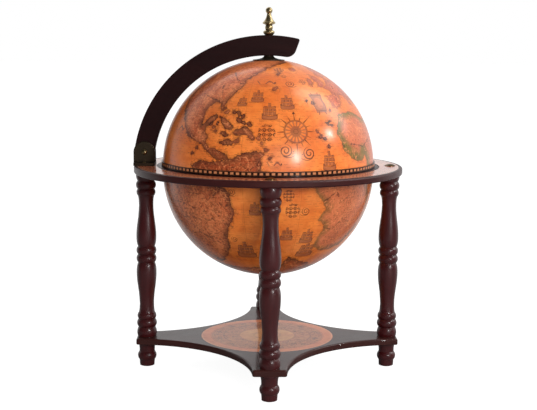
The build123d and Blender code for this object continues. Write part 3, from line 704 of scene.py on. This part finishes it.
def domeMesh(name, half):
    # a fine ball, cut at its edge, with a thin return at each opening
    bpy.ops.object.select_all(action="DESELECT")
    bpy.ops.mesh.primitive_ico_sphere_add(
        subdivisions=domeDetail, radius=half["radius"], location=half["centre"]
    )
    piece = bpy.context.object
    piece.name = piece.data.name = name
    bpy.ops.object.transform_apply(location=True, rotation=True, scale=True)
    bpy.ops.object.mode_set(mode="EDIT")
    bpy.ops.mesh.select_mode(type="EDGE")
    openings = [(half["cut"], half["upper"])]
    if half["upper"]:
        openings.append((half["centre"][2] + sqrt(half["radius"] ** 2 - half["hole"] ** 2), False))
    for height, above in openings:
        bpy.ops.mesh.select_all(action="SELECT")
        bpy.ops.mesh.bisect(
            plane_co=(0, 0, height), plane_no=(0, 0, 1), clear_inner=above, clear_outer=not above
        )
        if "collar" in half:
            bpy.ops.mesh.extrude_edges_move(TRANSFORM_OT_translate={"value": (0, 0, half["collar"])})
        inward = 1 - half["skin"] / (half["radius"] if height == half["cut"] else half["hole"])
        bpy.ops.mesh.extrude_edges_move()
        bpy.ops.transform.resize(value=(inward, inward, 1), center_override=(0, 0, height))
    bpy.ops.mesh.select_all(action="SELECT")
    bpy.ops.mesh.normals_make_consistent(inside=False)
    bpy.ops.object.mode_set(mode="OBJECT")
    bpy.ops.object.shade_smooth_by_angle(angle=sharpAngle)
    return piece


def printMap(piece, half):
    # what the shader can't work out itself: the coasts, and where each drawing lies
    mesh = piece.data
    place = np.empty(len(mesh.vertices) * 3)
    mesh.vertices.foreach_get("co", place)
    place = place.reshape(-1, 3) - np.array(half["centre"])
    place /= np.linalg.norm(place, axis=1)[:, None]
    turn = radians(half["front"])
    onMap = place @ np.array([[cos(turn), sin(turn), 0], [-sin(turn), cos(turn), 0], [0, 0, 1]])
    coast, owners = coastField(onMap)
    degree = radians(1) * half["radius"] / millimetre
    marks = {
        "coast": coast * degree,
        "green": owners["africa"],
        "ruddy": owners["eurasia"],
        "icy": owners["frozen"],
        "river": nearness(onMap, rivers, closed=False, furthest=8) * degree,
        "range": nearness(onMap, highGround, closed=False, furthest=12) * degree,
    }
    for label, values in marks.items():
        attribute = mesh.attributes.new(label, "FLOAT", "POINT")
        attribute.data.foreach_set("value", np.asarray(values, np.float32))

    corners = np.empty(len(mesh.loops), np.int32)
    mesh.loops.foreach_get("vertex_index", corners)
    starts = np.empty(len(mesh.polygons), np.int32)
    mesh.polygons.foreach_get("loop_start", starts)
    faceOf = np.repeat(np.arange(len(starts)), np.diff(np.append(starts, len(corners))))
    spot = place[corners] * half["radius"] / millimetre
    sheet = np.full((len(corners), 2), -drawingPitch, float)
    for kind, east, north, size in half["stamps"]:
        out = onUnitSphere(east, north)
        side = np.array([cos(radians(east)), sin(radians(east)), 0])
        up = np.cross(out, side)
        across, along = spot @ side / size, spot @ up / abs(size)
        near = (np.abs(across) <= 1) & (np.abs(along) <= 1) & (spot @ out > 0)
        inside = (np.bincount(faceOf, near) == np.bincount(faceOf))[faceOf]
        sheet[inside] = np.stack([across + drawingPitch * drawingKinds.index(kind), along], 1)[inside]
    drawn = mesh.uv_layers.new(name="drawings")
    drawn.data.foreach_set("uv", sheet.astype(np.float32).ravel())

    # and the whole half unrolled round its pole
    flat = mesh.uv_layers.new(name="OFBake")
    rise = spot[:, 2] if half["upper"] else -spot[:, 2]
    reach = np.sqrt((1 - rise * millimetre / half["radius"]).clip(0, 1.2)) * bakeReach
    around = np.hypot(spot[:, 0], spot[:, 1]).clip(1e-6)
    unrolled = 0.5 + spot[:, :2] / around[:, None] * reach[:, None]
    flat.data.foreach_set("uv", unrolled.astype(np.float32).ravel())


mapLook = {
    "shader": {"Specular IOR Level": 0.2, "Coat Weight": 0.65, "Coat Roughness": 0.23},
    "sea": (239, 131, 50), "seaDeep": (212, 102, 34), "seaPale": (250, 154, 78),
    "land": (204, 102, 56), "landDark": (172, 74, 36), "landPale": (234, 138, 84),
    "richLand": (150, 62, 26), "sandyLand": (206, 111, 68), "ruddyLand": (206, 98, 66),
    "icyLand": (158, 66, 22), "coastStrip": (106, 52, 27), "greenStrip": (112, 98, 30),
    "ink": (56, 24, 12), "shipWash": (142, 84, 60), "netStep": 10, "goreStep": 30,
    "age": 0.55, "roughness": 0.46, "unevenness": 0.08, "peel": 0.02,
}


def onGlobe(place, radius):
    # degrees north and east, how much the meridians draw together, and a degree in millimetres
    x, y, z = parts(place)
    north = (z / radius).calc("ARCSINE") * degrees(1)
    east = x.calc("ARCTAN2", -y) * degrees(1)
    return north, east, polar(x, y)[0] / radius, radius * radians(1)


def mapMaterial(name, half, look):
    material, tree, shader = newMaterial(name, look["shader"])
    place = objectPlace(tree, half["centre"])
    x, y, z = parts(place)
    radius = half["radius"] / millimetre
    north, east, shrink, degree = onGlobe(place, radius)
    east = east + half["front"]
    coast, green, ruddy, icy, river, ridge = [
        addNode(tree, "Attribute", {}, "Fac", attribute_name=label)
        for label in ("coast", "green", "ruddy", "icy", "river", "range")
    ]
    wobble = noise(place, 0.1, 5, 0.62) - 0.5
    crumble = noise(place, 0.3, 3, 0.7) - 0.5
    coast = coast + wobble * 7.5 + crumble * 4.5
    land = coast.above(0, 0.35)
    sea = 1 - land
    hills, hachures, towns, waves = engraving(tree, north, east, radius)

    # the sea: a warm ground with faint engraved swell lines
    broad = noise(place, 0.014, 3, 0.55)
    streaks = noise(join(x * 0.3, y * 0.3, z), 0.07, 4, 0.6, 0.3)
    ground = layered(
        look["sea"], look,
        (broad.above(0.52, 0.4), "seaDeep"),
        (noise(place, 0.02).above(0.6, 0.4) * 0.6, "seaPale"),
        (streaks.above(0.54, 0.14) * 0.5, "seaDeep"),
    )
    swell = (north * degree + wobble * 3).offStep(1.9).line(0.12, 0.35)
    swell = swell * noise(join(x * 0.25, y * 0.25, z), 0.1).above(0.54, 0.15)
    waves = waves * broad.above(0.4, 0.2)

    # the land: mottled brown, in each continent's own colour
    tone = noise(place, 0.045, 4, 0.65, 0.5)
    flecks = noise(place, 0.32, 3, 0.7)
    soil = layered(
        look["land"], look,
        (tone.above(0.54, 0.25) * 0.6, "landDark"),
        (tone.below(0.44, 0.14) * 0.9, "landPale"),
        (north.below(14, 6) * north.above(-3, 4) * 0.85, "richLand"),
        (north.below(-8, 10) * 0.35 + north.above(66, 10) * 0.4, "landPale"),
        (flecks.above(0.56, 0.1) * 0.45, "landDark"),
        (flecks.below(0.43, 0.1) * 0.45, "landPale"),
        (ruddy * 0.75, "ruddyLand"),
        (green * 0.75, "sandyLand"),
        (icy * 0.8, "icyLand"),
    )

    # a dark strip along the coast, green on the hot coast of Africa
    patch = noise(place, 0.035, 3, 0.6) - 0.5
    tropic = green * north.above(-1, 4)
    reach = 6.5 + green * 3 + tropic * (7 - north.above(20, 8) * 8) + patch * 16
    depth = 0.92 - ruddy * 0.55 - green * 0.2 + tropic * 0.18
    strip = (reach - coast).above(1, 10) * depth
    stripColour = mixed(green * 0.55 + tropic * 0.45, look["coastStrip"], look["greenStrip"])
    soil = mixed(strip, soil, stripColour)

    # rivers, borders, hills and gullies
    bends = noise(place, 0.2, 3, 0.6) - 0.5
    stream = (river + wobble * 6 + bends * 4).line(1.1, 0.7)
    brooks = (noise(place, 0.05, 3, 0.5, 0.4) - 0.5).line(0.024, 0.016)
    borders = (noise(place, 0.028, 4, 0.6, 0.2) - 0.47).line(0.008, 0.007)
    peaks = hills * (ridge + wobble * 12).below(11, 4)
    knolls = hills * tone.above(0.62, 0.05)
    etched = noise(place, 0.05).above(0.49, 0.06) * (1 - green * 0.3)
    hachures = hachures * etched.most(coast.below(9, 3) * 0.9 * (1 - green))
    relief = boldest(peaks, knolls, hachures, towns) * (1 - green * 0.25)
    relief = relief * (1 - north.above(22, 10) * 0.45)
    gullies = (noise(place, 0.085, 3, 0.6, 0.8) - 0.5).line(0.035, 0.025) * tone.above(0.44, 0.08)
    gullies = gullies * north.below(8, 8) * (1 - green * 0.5) * 0.75
    inland = coast.above(1.4, 1)
    relief = boldest(relief, gullies, borders * 0.4, stream) * inland
    soil = mixed(brooks.most(borders * 0.6) * inland * 0.7, soil, look["landPale"])

    # the coast: a firm broken line, with combed shading on the sea side
    shore = (coast + bends * 1.6).line(1.15, 0.5) * (0.86 - ruddy * 0.6 - green * 0.4 + patch * 2.8)
    comb = (north * degree).offStep(2.1).line(0.85, 0.5) * (coast + bends * 20).above(-2.9, 1) * sea
    shade = coast.above(-1.4, 2) * sea * 0.25

    # the net of meridians and parallels, and the seams between the printed gores
    parallels = (north.offStep(look["netStep"]) * degree).line(0.2, 0.3)
    meridians = (east.offStep(look["netStep"]) * shrink * degree).line(0.2, 0.3)
    net = parallels.most(meridians * shrink.above(0.17, 0.02))
    gore = ((east - half["seam"]).offStep(look["goreStep"]) * shrink * degree).line(0.45, 0.35)

    # drawings in the sea, all on one sheet of their own coordinates
    across, along, _ = parts(addNode(tree, "UVMap", {}, "UV", uv_map="drawings"))
    drawn = [
        drawings[kind](tree, join(across - drawingPitch * index, along))
        for index, kind in enumerate(drawingKinds)
    ]
    inked, washed = (boldest(*masks) for masks in zip(*drawn))

    colour = layered(
        mixed(land, ground, soil), look,
        (boldest(swell * 0.35, shade, waves * 0.6) * sea, "coastStrip"),
        (washed * sea * 0.75, "shipWash"),
    )
    comb = comb * 0.75 * (1 - green * 0.6)
    ink = boldest(inked * sea * 0.95, shore, comb, relief * land * 0.9, net * 0.35, gore * 0.38)
    worn = noise(place, 0.12, 4, 0.7)
    colour = mixed(ink * (worn * 1.5 + 0.15).least(1), colour, look["ink"])
    lacquered(shader, place, colour, look, relief=gore * -0.06)
    return material


for name, half in globeHalves.items():
    piece = domeMesh(name, half)
    printMap(piece, half)
    piece.data.materials.append(mapMaterial(name + "Print", half, mapLook))
    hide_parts(half["node"])
    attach(piece, half["body"])
    print(name, "printed:", len(piece.data.polygons), "faces")

# lacquered wood; the grain runs where its scale is small
woods = {
    "legs": {
        "nodes": [part + side for part in ("leg_", "foot_") for side in ("left", "front", "right", "back")],
        "base": (67, 14, 16), "streak": (42, 10, 12), "worn": (112, 60, 54), "shine": 0.42,
        # recess is how strongly the grooves and hollows get painted shade
        "grain": (1, 1, 0.1), "roughness": 0.38, "coat": 0.36, "film": 0.17, "wear": 0.5, "recess": 0.8,
    },
    "ring": {
        "nodes": ["ring", "bowl_rim"], "shine": 0.2,
        "base": (62, 23, 21), "streak": (42, 16, 17), "worn": (120, 84, 76),
        "grain": (0.1, 1, 1), "roughness": 0.42, "coat": 0.1, "wear": 0.6,
    },
    "shelf": {
        "nodes": ["shelf"], "shine": 0.1, "film": 0.08,
        "base": (60, 29, 25), "streak": (43, 20, 19), "worn": (116, 80, 72),
        "grain": (0.08, 1, 1), "roughness": 0.38, "coat": 0.4, "wear": 0.8,
    },
    "arm": {
        "nodes": ["meridian_arm"], "shine": 0.14,
        "base": (34, 11, 11), "streak": (22, 7, 8), "worn": (70, 44, 38),
        "grain": (0.12, 1, 0.5), "roughness": 0.36, "coat": 0.06, "wear": 0.7,
    },
    "lidRim": {
        "nodes": ["lid_rim", "pole_block"],
        "base": (66, 32, 28), "streak": (44, 22, 20), "worn": (120, 80, 66),
        "grain": (0.2, 0.2, 1), "roughness": 0.4, "coat": 0.3, "wear": 0.4,
    },
    "rack": {
        "nodes": ["floor_plate", "rack_plate", "rack_post_1", "rack_post_2", "rack_post_3"],
        "base": (116, 62, 38), "streak": (80, 40, 26), "worn": (160, 108, 74),
        "grain": (0.1, 1, 1), "roughness": 0.42, "coat": 0.3, "wear": 0.4,
    },
    "shell": {
        "nodes": ["lid", "bowl"],
        "base": (136, 98, 62), "streak": (108, 76, 48), "worn": (160, 124, 88),
        "grain": (1, 1, 1), "roughness": 0.7, "coat": 0, "wear": 0.2,
    },
}
# grooveShade is the colour of the painted shade in the legs' grooves, reaching as far as reach
everyWood = {
    "shine": 0.35, "film": 0.16, "grooveShade": (18, 8, 10), "reach": 0.009, "edge": 0.0012, "breakup": 0.6,
    "unevenness": 0.12, "peel": 0.03,
}


def woodMaterial(name, look):
    gloss = {"Specular IOR Level": "shine", "Coat Weight": "coat", "Coat Roughness": "film"}
    material, tree, shader = newMaterial(name, {label: look[key] for label, key in gloss.items()})
    place = objectPlace(tree)
    streaks, pores = woodGrain(tree, objectPlace(tree, scale=look["grain"]))
    layers = [(streaks * 0.85, "streak"), (pores * 0.35, "streak")]
    # the legs are darkened in their grooves and hollows, where shade falls: painted shade
    if "recess" in look:
        layers.append((recesses(tree, look["reach"]) * look["recess"], "grooveShade"))
    worn = edgeWear(tree, place, look["edge"], look["breakup"]) * look["wear"]
    colour = layered(look["base"], look, *layers, (worn * 0.7, "worn"))
    lacquered(shader, place, colour, look, relief=pores * -0.02, dull=worn * 0.12)
    return material


def dress(names, material):
    for name in names:
        slots = nodes[name].data.materials
        slots.clear()
        slots.append(material)


for name, look in woods.items():
    dress(look["nodes"], woodMaterial(name + "Wood", {**everyWood, **look}))
print("wood finished")

metals = {
    "finialBrass": {
        "nodes": ["finial"],
        "base": (178, 158, 116), "dark": (58, 50, 36), "roughness": 0.36, "patina": 0.8, "reach": 0.0035,
    },
    "bronze": {
        "nodes": ["hinge_bracket", "pole_flange"],
        "base": (72, 61, 48), "dark": (20, 15, 11), "metal": 0.85, "roughness": 0.38, "reach": 0.005,
    },
    "brass": {
        "nodes": ["cap_front", "cap_right", "cap_back"],
        "base": (96, 76, 48), "dark": (32, 22, 14), "roughness": 0.3, "reach": 0.004,
    },
    "screws": {
        "nodes": ["bracket_screws", "hinge_pin", "hinge_nut", "rack_screws"],
        "base": (150, 132, 96), "dark": (54, 44, 30), "roughness": 0.38, "reach": 0.0015,
    },
    "steel": {
        "nodes": ["leg_screws", "foot_dowels", "pole_bolt", "pole_washer", "pole_nut"],
        "base": (176, 176, 180), "dark": (84, 84, 88), "roughness": 0.32, "patina": 0.5, "reach": 0.002,
    },
}
everyMetal = {"metal": 1, "patina": 1, "edge": 0.0006, "breakup": 0.3, "brushed": (0.4, 0.4, 4)}


def metalMaterial(name, look):
    material, tree, shader = newMaterial(name, {"Metallic": look["metal"]})
    place = objectPlace(tree)
    film = noise(place, 0.35, 4, 0.65)
    tarnish = recesses(tree, look["reach"]) + (film - 0.45) * 0.7
    tarnish = tarnish.calc("MULTIPLY", look["patina"], clamp=True)
    rubbed = edgeWear(tree, place, look["edge"], look["breakup"])
    bright = [min(1, part * 1.9) for part in paint(*look["base"])]
    colour = mixed(rubbed * 0.5, mixed(tarnish, look["base"], look["dark"]), bright)
    connect(colour, shader["Base Color"])
    brushed = noise(objectPlace(tree, scale=look["brushed"]), 0.6, 3, 0.6)
    connect(tarnish * 0.25 + brushed * 0.08 + look["roughness"] - 0.04, shader["Roughness"])
    connect(bump(film, millimetre * 0.05), shader["Normal"])
    return material


for name, look in metals.items():
    dress(look["nodes"], metalMaterial(name, {**everyMetal, **look}))
print("metal finished")

# the checkered band round the lid's edge
bandLook = {
    "shader": {"Specular IOR Level": 0.2, "Coat Weight": 0.12, "Coat Roughness": 0.12},
    "squares": 120, "centre": 0.3277, "halfHeight": 1.7, "share": 0.57,
    "light": (186, 120, 82), "warm": (196, 124, 76), "grain": (150, 92, 54),
    "ground": (28, 13, 10), "line": (120, 70, 42), "roughness": 0.3, "unevenness": 0.1, "peel": 0.03,
}


def bandMaterial(look):
    material, tree, shader = newMaterial("bandPrint", look["shader"])
    place = objectPlace(tree, (0, 0, look["centre"]))
    x, y, z = parts(place)
    turn = polar(x, y)[1] * (look["squares"] / (2 * pi))
    across = turn.part().near(0.5, look["share"] / 2, 0.06)
    upright = abs(z).below(look["halfHeight"], 0.25)
    tint = noise(join(turn.whole(), 0), 7.3, 0)
    grain = noise(objectPlace(tree, scale=(1, 1, 4)), 0.9, 3, 0.6)
    veneers = (tint.above(0.5, 0.5) * 0.5, "warm"), ((grain - 0.4) * 0.8, "grain")
    fillet = (abs(z) - (look["halfHeight"] + 0.75)).line(0.28, 0.2)
    colour = mixed(across * upright, look["ground"], layered(look["light"], look, *veneers))
    colour = mixed(fillet * 0.8, colour, look["line"])
    lacquered(shader, place, colour, look, relief=across * upright * 0.05)
    return material


dress(["lid_band"], bandMaterial(bandLook))
print("band inlaid")

# the ring's print: borders, degree marks and running scrolls, its radii in millimetres
ringLook = {
    "shader": {"Coat Weight": 1, "Coat Roughness": 0.1},
    "lines": (202.4, 201.4, 196.5, 181.4), "middle": 188.95, "border": 196.5, "blocks": 197.3, "ticks": 199,
    "outer": 202.9, "tickDegree": 190 * radians(1), "dividerDegree": 185 * radians(1),
    "paper": (238, 148, 98), "deep": (200, 100, 62), "ink": (84, 36, 24), "red": (176, 66, 44),
    # edge is the colour of the painted highlight along the ring's outer edge
    "edge": (250, 200, 176), "age": 0.8, "roughness": 0.42, "unevenness": 0.08, "peel": 0.02,
}


def ringMaterial(look):
    material, tree, shader = newMaterial("ringPrint", look["shader"])
    place = objectPlace(tree)
    reach, angle = polar(*parts(place)[:2])
    turn = angle * (180 / pi)
    lines = boldest(*[(reach - radius).line(0.45, 0.3) for radius in look["lines"]])
    ticks = (turn.offStep(1) * look["tickDegree"]).line(0.4, 0.3) * reach.near(look["ticks"], 1.2, 0.3)
    blocks = (turn / 5).part().above(0.5, 0.02) * reach.near(look["blocks"], 0.9, 0.2)
    dividers = (turn.offStep(30) * look["dividerDegree"]).line(0.6, 0.3) * reach.below(look["border"], 0.3)
    middle = look["middle"]
    wave = (turn * radians(12)).sine() * 3.2
    vine = (reach - middle - wave).line(0.8, 0.4)
    leafTurn = (turn / 7.5).part() - 0.5
    leafReach = reach - middle + wave
    leaf = (leafTurn * leafTurn * 30 + leafReach * leafReach * 0.12).below(0.9, 0.3)
    pattern = vine.most(leaf * 0.8) * reach.near(middle, 6.6, 0.3)
    colour = layered(
        look["paper"], look,
        (noise(place, 0.03, 4, 0.6).above(0.5, 0.3), "deep"),
        (reach.near(middle, 7, 0.3) * 0.25, "red"),
        (pattern * 0.6, "ink"),
        (boldest(lines, ticks * 0.8, dividers, blocks * 0.9) * 0.75, "ink"),
        # a pale rim beyond the outer line: painted highlight along the ring's outer edge
        (reach.above(look["outer"], 0.3) * 0.7, "edge"),
    )
    lacquered(shader, place, colour, look)
    return material


dress(["ring_print"], ringMaterial(ringLook))

# the shelf's print: a twelve-part wheel round a pale centre, its radii in millimetres
shelfLook = {
    "shader": {"Specular IOR Level": 0.1, "Coat Weight": 0.48, "Coat Roughness": 0.06},
    "outer": 102.6, "border": 88, "centre": 44, "lines": (90, 88, 70, 68.8, 46, 44),
    "starReach": 79, "sprigReach": 57, "roseSize": 42,
    "rim": (206, 120, 74), "field": (176, 112, 72), "pale": (196, 138, 82), "ink": (50, 32, 26),
    "rose": (180, 96, 62), "edge": (220, 150, 108),
    "age": 0.7, "roughness": 0.36, "unevenness": 0.1, "peel": 0.02,
}


def starMask(away, angle, points, size, core):
    # a star whose points draw out from a round core
    bend = angle * (points / (2 * pi))
    return (away - (0.5 - abs(bend.offStep(1))) * size - core).below(0, 0.5)


def shelfMaterial(look):
    material, tree, shader = newMaterial("shelfPrint", look["shader"])
    place = objectPlace(tree)
    x, y, _ = parts(place)
    reach, angle = polar(x, y)
    turn = angle * (180 / pi)
    tone = noise(place, 0.05, 4, 0.6)
    lines = boldest(*[(reach - radius).line(0.5, 0.35) for radius in look["lines"]])
    spokes = (turn.offStep(30) * reach * radians(1)).line(0.6, 0.35)
    spokes = spokes * reach.between(look["centre"] + 2, look["border"], 0.5)
    ticks = (turn.offStep(3) * reach * radians(1)).line(0.5, 0.35)
    ticks = ticks * reach.near(look["border"] + 1, 1, 0.3)
    # each twelfth holds a star over a sprig
    sector = ((turn / 30).part() - 0.5) * (30 * radians(1)) * reach
    star = starMask(*polar(sector, reach - look["starReach"]), points=6, size=10, core=1.2)
    stem = sector - ((reach - look["sprigReach"]) * 0.55).sine() * 3
    sprig = stem.line(1, 0.5) * reach.near(look["sprigReach"], 9, 0.5)
    curls = (noise(place, 0.11, 2, 0.5, 1.2) - 0.5).line(0.05, 0.03)
    curls = curls * reach.between(look["centre"] + 3, look["border"] - 1, 0.5) * tone.above(0.42, 0.12)
    scale = 1 / look["roseSize"]
    wheel, _ = drawings["rose"](tree, join(x * scale, y * scale))
    ink = boldest(lines, spokes, ticks, star * 0.85, sprig * 0.8, curls, wheel * 0.5)
    colour = layered(
        look["field"], look,
        (reach.above(look["border"], 0.5), "rim"),
        (reach.below(look["centre"], 0.5), "pale"),
        (reach.above(look["outer"], 0.5) * 0.7, "edge"),
        (tone.above(0.55, 0.3) * 0.4, "rose"),
        (ink * 0.72, "ink"),
    )
    lacquered(shader, place, colour, look)
    return material


dress(["shelf_print"], shelfMaterial(shelfLook))

# the linings: cream paper with a plain chart of stars
linings = {
    "lidLining": {"nodes": ["lid_lining"], "centre": (0, 0, 0.3234)},
    "bowlLining": {"nodes": ["bowl_lining"], "centre": (0, 0, 0.316)},
}
liningLook = {
    "shader": {"IOR": 1.48, "Coat Weight": 0.5, "Coat Roughness": 0.2},
    "radius": 160, "netStep": 15, "skyTilt": radians(23.5),
    "paper": (226, 190, 132), "deep": (200, 150, 92), "ink": (112, 66, 42), "gold": (176, 116, 52),
    "age": 0.7, "roughness": 0.32, "unevenness": 0.1, "peel": 0.02,
}


def liningMaterial(name, lining, look):
    material, tree, shader = newMaterial(name, look["shader"])
    place = objectPlace(tree, lining["centre"])
    x, _, z = parts(place)
    north, east, shrink, degree = onGlobe(place, look["radius"])
    lines = (north.offStep(look["netStep"]) * degree).line(0.35, 0.3)
    lines = lines.most((east.offStep(look["netStep"]) * shrink * degree).line(0.35, 0.3))
    tilted = (z * cos(look["skyTilt"]) + x * sin(look["skyTilt"])) / look["radius"]
    circle = (abs(tilted) - 0.035).line(0.005, 0.004)
    steps = (east / 5).part().above(0.5, 0.05) * abs(tilted).below(0.033, 0.004)
    offset = {0: place, 1: cells(place, 0.045, "Position")}
    dx, dy, dz = parts(addNode(tree, "VectorMath", offset, operation="SUBTRACT"))
    away = (dx * dx + dy * dy + dz * dz).calc("POWER", 0.5)
    star = starMask(away, dz.calc("ARCTAN2", dx + dy), points=5, size=4.6, core=0.8)
    colour = layered(
        look["paper"], look,
        (noise(place, 0.02, 4, 0.6, 0.4).above(0.52, 0.35), "deep"),
        (boldest(lines, circle, steps * 0.7) * 0.55, "ink"),
        (star * 0.85, "gold"),
    )
    lacquered(shader, place, colour, look)
    return material


for name, lining in linings.items():
    dress(lining["nodes"], liningMaterial(name, lining, liningLook))
print("prints finished")

# felt under the feet
feltLook = {
    "shader": {"Sheen Weight": 0.4, "Sheen Roughness": 0.6, "Specular IOR Level": 0.2},
    "base": (58, 44, 40), "fluff": (96, 78, 70),
}


def feltMaterial(look):
    material, tree, shader = newMaterial("felt", look["shader"])
    fibres = noise(objectPlace(tree), 1.6, 5, 0.75, 1.5)
    connect(mixed(fibres.above(0.5, 0.4), look["base"], look["fluff"]), shader["Base Color"])
    connect(fibres * 0.2 + 0.8, shader["Roughness"])
    connect(bump(fibres, millimetre * 0.3), shader["Normal"])
    return material


dress(["pad_left", "pad_front", "pad_right", "pad_back"], feltMaterial(feltLook))

# the lamps hang round the globe: towards is degrees right of the front and up, sizes are in metres
studio = {
    "floorSize": 40, "floor": (134, 134, 134), "floorGlow": 0.94,
    "fill": 0.5, "gloss": 0.045, "backdrop": 0.8, "backdropSide": 0.2, "backdropEdge": (450, 800),
}
lamps = {
    "key": {"towards": (28.5, 13.5), "distance": 2.4, "size": 0.11, "height": 0.42, "power": 18},
    "side": {"towards": (76, 28.5), "distance": 2.4, "size": 0.12, "height": 0.13, "power": 12},
    "over": {"towards": (103, 46), "distance": 2.4, "size": 0.9, "height": 2.2, "power": 24},
    "back": {"towards": (-166, 38), "distance": 2.6, "size": 1.2, "height": 1.2, "power": 7},
    "front": {"towards": (10, 9), "distance": 2.6, "size": 1.6, "height": 1.6, "power": 31, "matt": True},
}
lampAim = Vector((0, 0, 0.3))


def seenAndGloss(tree):
    return [addNode(tree, "LightPath", {}, ray) for ray in ("Is Camera Ray", "Is Glossy Ray")]


def makeFloor(look):
    # white to look at, and paler far behind the globe in its gloss
    bpy.ops.object.select_all(action="DESELECT")
    bpy.ops.mesh.primitive_grid_add(x_subdivisions=4, y_subdivisions=4, size=look["floorSize"])
    floor = bpy.context.object
    floor.name = "floor"
    constants = {"Base Color": look["floor"], "Roughness": 0.9, "Specular IOR Level": 0}
    material, tree, shader = newMaterial("floor", {**constants, "Emission Color": (255, 255, 255)})
    seen, gloss = seenAndGloss(tree)
    glow = parts(objectPlace(tree))[1].above(*look["backdropEdge"]) * look["backdrop"]
    connect(seen * look["floorGlow"] + gloss * glow, shader["Emission Strength"])
    floor.data.materials.append(material)


def makeRoom(look):
    # white to look at, a plain fill for the light, and a pale backdrop only behind the globe in its gloss
    world = bpy.data.worlds.new("room")
    bpy.context.scene.world = world
    world.use_nodes = True
    tree = world.node_tree
    background = tree.nodes["Background"].inputs
    connect((255, 255, 255), background["Color"])
    seen, gloss = seenAndGloss(tree)
    x, y, _ = parts(addNode(tree, "TexCoord", {}, "Generated"))
    behind = (y + x * look["backdropSide"]).calc("MULTIPLY_ADD", 1.6, 0.1, clamp=True)
    mirrored = behind * look["backdrop"] + look["gloss"]
    strength = seen * (1 - look["fill"]) + gloss * (mirrored - look["fill"]) + look["fill"]
    connect(strength, background["Strength"])


def hangLamp(name, look):
    azimuth, height = (radians(angle) for angle in look["towards"])
    away = Vector((sin(azimuth) * cos(height), -cos(azimuth) * cos(height), sin(height)))
    light = bpy.data.lights.new(name, "AREA")
    light.shape = "ELLIPSE"
    light.size, light.size_y = look["size"], look["height"]
    light.energy = look["power"]
    lamp = addToScene(name, light)
    lamp.location = lampAim + away * look["distance"]
    lamp.rotation_euler = away.to_track_quat("Z", "Y").to_euler()
    lamp.visible_glossy = "matt" not in look


makeFloor(studio)
makeRoom(studio)
for name, look in lamps.items():
    hangLamp(name, look)
bpy.context.scene.view_settings.view_transform = "Standard"
print("studio lit")
